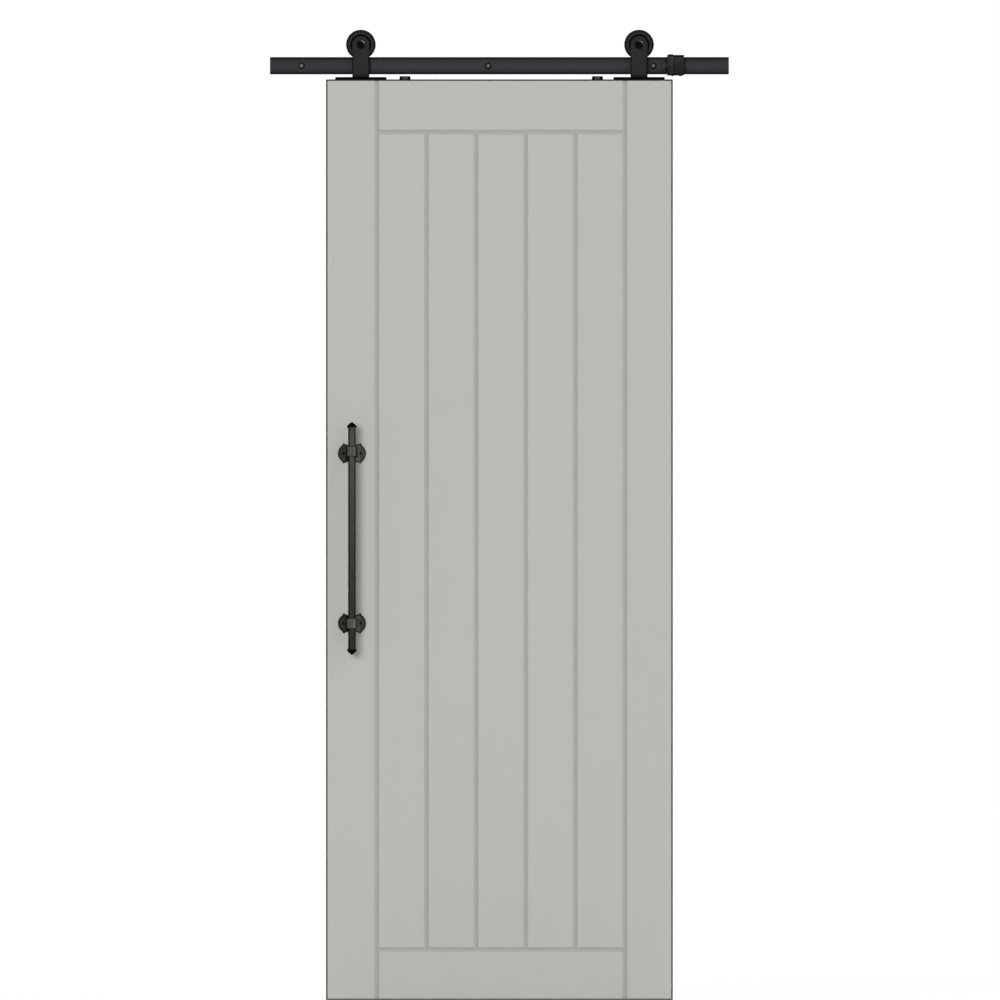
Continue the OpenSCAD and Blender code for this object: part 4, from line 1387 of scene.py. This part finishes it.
class BARN_OT_handle(bpy.types.Operator):
    """Builds the hammered bar of the pull and its pointed ends"""

    bl_idname = "barn_door.handle"
    bl_label = "Handle bar"

    def finial(self, pull, iron, node, up):
        """A four-sided point that flares from the bar and then narrows twice."""
        flare_share, bend_share, bend_width_share, tip_width_share, painted_shade = 0.247, 0.45, 0.74, 0.14, 0.985
        low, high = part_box(node)
        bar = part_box("handle_bar")
        centre = middle("handle_bar")
        wide = (high.x - low.x) / 2
        narrow = (bar[1].x - bar[0].x) / 2
        foot, tip = (bar[1].z, high.z) if up else (bar[0].z, low.z)
        flare = flare_share * (tip - foot)
        point = tip - foot - flare
        steps = (
            (flare, wide / narrow),
            (bend_share * point, bend_width_share),
            ((1 - bend_share) * point, tip_width_share),
        )
        about = Matrix.Translation((-centre.x, -centre.y, 0))
        spot = Matrix.Translation((centre.x, centre.y, foot)) @ Matrix.Rotation(math.radians(45), 4, "Z")
        bm = start()
        base = bmesh.ops.create_circle(
            bm, cap_ends=True, segments=4, radius=narrow * math.sqrt(2), matrix=spot
        )
        top = faces_of(base["verts"])
        for climb, grow in steps:
            top = bmesh.ops.extrude_discrete_faces(bm, faces=top)["faces"]
            points = top[0].verts[:]
            bmesh.ops.translate(bm, vec=(0, 0, climb), verts=points)
            bmesh.ops.scale(bm, vec=(grow, grow, 1), verts=points, space=about)
        bmesh.ops.recalc_face_normals(bm, faces=bm.faces)
        # The narrowing slopes are painted nearly black as shade
        slopes = [face for face in bm.faces if abs(face.calc_center_median().z - foot) > abs(flare)]
        mark(bm, slopes, "tone", painted_shade)
        soften(bm, sharp(bm.edges, 20), pull.point_edge, 2)
        bmesh.ops.holes_fill(bm, edges=[edge for edge in bm.edges if edge.is_boundary])
        bmesh.ops.recalc_face_normals(bm, faces=bm.faces)
        piece(bm, node + "_point", "door", iron, [node], 40)

    def execute(self, context):
        pull = context.scene.barn_handle
        low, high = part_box("handle_bar")
        iron = bar_iron(pull.iron, pull.dent_size, middle("handle_bar"))
        face_w, long_edge = 0.006, 0.1
        bm = start()
        points = block(bm, low, high)
        soften(bm, [edge for edge in edges_of(points) if reach(edge, Z) > TINY], pull.bar_edge, 2)
        across = [edge for edge in bm.edges if reach(edge, Z) < TINY and edge.calc_length() > face_w]
        bmesh.ops.subdivide_edges(bm, edges=across, cuts=5, use_grid_fill=True)
        along = [edge for edge in bm.edges if reach(edge, Z) > long_edge]
        bmesh.ops.subdivide_edges(bm, edges=along, cuts=200, use_grid_fill=True)
        hammer(bm, pull.dent, pull.dent_size)
        piece(bm, "handle_square_bar", "door", iron, ["handle_bar"], 50)
        self.finial(pull, iron, "upper_finial", True)
        self.finial(pull, iron, "lower_finial", False)
        return {"FINISHED"}


class BARN_OT_brackets(bpy.types.Operator):
    """Builds the shaped plates, stems and collars that hold the bar"""

    bl_idname = "barn_door.brackets"
    bl_label = "Brackets"

    def plate(self, bm, pull, spot):
        """A plate with round lobes at its sides and a hollow between two cusps at top and foot."""
        half, cusp_z = pull.plate_w / 2, pull.plate_h / 2
        lobe_x = half - pull.lobe
        swing = math.acos((pull.cusp + pull.cusp_foot - lobe_x) / pull.lobe)
        dip_r = (pull.cusp * pull.cusp + pull.dip * pull.dip) / (2 * pull.dip)
        dip_middle = (0, 0, cusp_z - pull.dip + dip_r)
        dip_swing = -math.asin(pull.cusp / dip_r)
        tip = bm.verts.new((half, 0, 0))
        bmesh.ops.spin(bm, geom=[tip], cent=(lobe_x, 0, 0), axis=(0, -1, 0), angle=swing, steps=14)
        heel = max(bm.verts, key=lambda point: point.co.z)
        cusp = bm.verts.new((pull.cusp, 0, cusp_z))
        bm.edges.new((heel, cusp))
        bmesh.ops.spin(bm, geom=[cusp], cent=dip_middle, axis=(0, -1, 0), angle=dip_swing, steps=10)
        for axis in ("X", "Z"):
            bmesh.ops.mirror(bm, geom=bm.verts[:] + bm.edges[:], axis=axis, merge_dist=NEAR)
        bmesh.ops.remove_doubles(bm, verts=bm.verts, dist=NEAR)
        bmesh.ops.translate(bm, vec=spot, verts=bm.verts)
        points = thicken(bm, bm.edges[:], (0, -pull.plate, 0))
        soften(bm, sharp(edges_of(points), 40), pull.plate_edge, 2)
        # A rim of painted shade round the plate's front
        border(bm, pull.plate_shade_rim)

    def bracket(self, pull, iron, node, rise):
        """One bracket: plate, stem and collar."""
        sunk, painted_shade = 0.001, 0.75
        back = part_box(node)[1].y
        spot = middle(node)
        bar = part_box("handle_bar")
        bm = start()
        self.plate(bm, pull, (spot.x, back, spot.z))
        centre = Vector((spot.x, (bar[0].y + bar[1].y) / 2, spot.z + rise))
        stem = Vector((pull.stem_w / 2, 0, pull.stem_h / 2))
        before = set(bm.verts)
        block(bm, centre - stem, Vector((spot.x, back - sunk, centre.z)) + stem)
        soften(bm, sharp(edges_of(added(bm, before)), 40), pull.stem_edge, 2)
        half = (bar[1] - bar[0]) / 2
        half = Vector((half.x + pull.collar, half.y + pull.collar, pull.collar_h / 2))
        before = set(bm.verts)
        points = block(bm, centre - half, centre + half)
        bevel(bm, [edge for edge in edges_of(points) if reach(edge, Z) > TINY], pull.collar_chamfer, 1)
        collar = faces_of(added(bm, before))
        # The collar's right chamfer is painted dark as shade
        mark(bm, [face for face in collar if face.normal.x > 0.3 and face.normal.y < -0.3], "tone", painted_shade)
        soften(bm, sharp(edges_of(added(bm, before)), 60), pull.collar_edge, 2)
        piece(bm, node + "_forging", "door", iron, [node], 40)

    def execute(self, context):
        pull = context.scene.barn_handle
        leaf_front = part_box("left_stile")[0].y
        iron = bracket_iron(pull.iron, pull.dent_size, middle("handle_bar"), leaf_front)
        self.bracket(pull, iron, "upper_bracket", pull.collar_rise)
        self.bracket(pull, iron, "lower_bracket", 0)
        return {"FINISHED"}


class BARN_OT_stage(bpy.types.Operator):
    """Sets up the floor, the light and the camera"""

    bl_idname = "barn_door.stage"
    bl_label = "Stage"

    def sun(self, name, towards, level, spread):
        """A far light that comes from a direction."""
        lamp = bpy.data.lights.new(name, "SUN")
        lamp.energy = level * math.pi
        lamp.angle = math.radians(spread)
        made = bpy.data.objects.new(name, lamp)
        made.rotation_mode = "QUATERNION"
        made.rotation_quaternion = Vector(towards).to_track_quat("Z", "Y")
        bpy.context.scene.collection.objects.link(made)

    def world(self, stage):
        """A white surround that fills from the camera's side and from behind by their own levels."""
        turn = (-0.25, 0.6)
        world = bpy.data.worlds.new("studio")
        world.use_nodes = True
        bpy.context.scene.world = world
        tree = Tree(world.node_tree)
        way = tree.node("ShaderNodeTexCoord", output="Generated")
        behind = tree.rise(tree.along(way, Y), *turn)
        seen = tree.ray("Camera") + behind * (tree.ray("Glossy") + tree.ray("Transmission"))
        seen = seen.maths("MINIMUM", seen, 1.0)
        fill = stage.front_fill + (stage.back_fill - stage.front_fill) * behind
        shader = world.node_tree.nodes["Background"]
        tree.feed(shader, {"Color": (1, 1, 1, 1), "Strength": seen + (1 - seen) * fill})

    def floor(self, stage, height):
        """A pale floor that looks nearly white to the camera."""
        white, pale, glow_share = (1, 1, 1, 1), (0.8, 0.8, 0.8), 0.65
        paint = Finish("floor_paint")
        tone = 0.98 + paint.cloud(paint.place(), 4, 3).sway(0.03)
        paint.surface(colour=paint.shade(pale, tone), rough=0.9)
        glow = paint.node("ShaderNodeEmission", None, {"Color": white, "Strength": stage.floor_glow})
        coat = Wire(paint, paint.shader.outputs[0])
        seen = glow_share * paint.ray("Camera")
        mixed = paint.node("ShaderNodeMixShader", None, {0: seen, 1: coat, 2: glow})
        paint.feed(paint.tree.nodes["Material Output"], {"Surface": mixed})
        bm = bmesh.new()
        place = Matrix.Translation((0, 0, height))
        bmesh.ops.create_circle(bm, cap_ends=True, segments=96, radius=stage.floor_radius, matrix=place)
        made = shown(bm, "floor", paint.material)

    def camera(self, stage):
        """A camera square to the leaf, so far away that it shows hardly any perspective."""
        sensor, far = 36, 1000
        camera = bpy.data.cameras.new("camera")
        camera.sensor_width = sensor
        camera.lens = sensor * stage.distance / stage.view_width
        camera.clip_end = far
        made = bpy.data.objects.new("camera", camera)
        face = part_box("left_stile")[0].y
        made.location = (stage.aim[0], face - stage.distance, stage.aim[1])
        made.rotation_euler = (math.radians(90), 0, 0)
        bpy.context.scene.collection.objects.link(made)
        bpy.context.scene.camera = made

    def execute(self, context):
        # Where each light comes from and its spread in degrees
        suns = {
            "key": ((-0.235, -0.955, 0.18), 22),
            "side": ((0.83, -0.55, 0.12), 100),
            "glint": ((0.55, -0.55, 0.63), 6),
        }
        stage = context.scene.barn_stage
        context.scene.view_settings.view_transform = "Standard"
        self.world(stage)
        self.floor(stage, CAD_BOX[0].z - stage.floor_drop)
        for name, (towards, spread) in suns.items():
            self.sun(name, towards, getattr(stage, name), spread)
        self.camera(stage)
        return {"FINISHED"}


class BARN_PT_panel(bpy.types.Panel):
    """Lists the sizes, colours and steps of the barn door"""

    bl_idname = "BARN_PT_panel"
    bl_label = "Barn door"
    bl_space_type = "VIEW_3D"
    bl_region_type = "UI"
    bl_category = "Barn Door"

    def draw(self, context):
        for name in GROUPS:
            box = self.layout.box()
            settings = getattr(context.scene, name)
            for key in settings.__annotations__:
                box.prop(settings, key)
        for operator in OPERATORS:
            self.layout.operator(operator.bl_idname)


GROUPS = {
    "barn_leaf": LeafSettings,
    "barn_track": TrackSettings,
    "barn_hangers": HangerSettings,
    "barn_handle": HandleSettings,
    "barn_stage": StageSettings,
}
OPERATORS = (
    BARN_OT_stage,
    BARN_OT_boards,
    BARN_OT_bands,
    BARN_OT_rail,
    BARN_OT_rail_bolts,
    BARN_OT_stop,
    BARN_OT_hangers,
    BARN_OT_axles,
    BARN_OT_wheels,
    BARN_OT_discs,
    BARN_OT_screws,
    BARN_OT_handle,
    BARN_OT_brackets,
)


def register():
    for each in (*GROUPS.values(), *OPERATORS, BARN_PT_panel):
        bpy.utils.register_class(each)
    for name, group in GROUPS.items():
        setattr(bpy.types.Scene, name, PointerProperty(type=group))


def unregister():
    for name in GROUPS:
        delattr(bpy.types.Scene, name)
    for each in reversed((*GROUPS.values(), *OPERATORS, BARN_PT_panel)):
        bpy.utils.unregister_class(each)


def main():
    register()
    bpy.ops.barn_door.stage()
    bpy.ops.barn_door.boards()
    bpy.ops.barn_door.bands()
    bpy.ops.barn_door.rail()
    bpy.ops.barn_door.rail_bolts()
    bpy.ops.barn_door.stop()
    bpy.ops.barn_door.hangers()
    bpy.ops.barn_door.axles()
    bpy.ops.barn_door.wheels()
    bpy.ops.barn_door.discs()
    bpy.ops.barn_door.screws()
    bpy.ops.barn_door.handle()
    bpy.ops.barn_door.brackets()


if __name__ == "__main__":
    main()
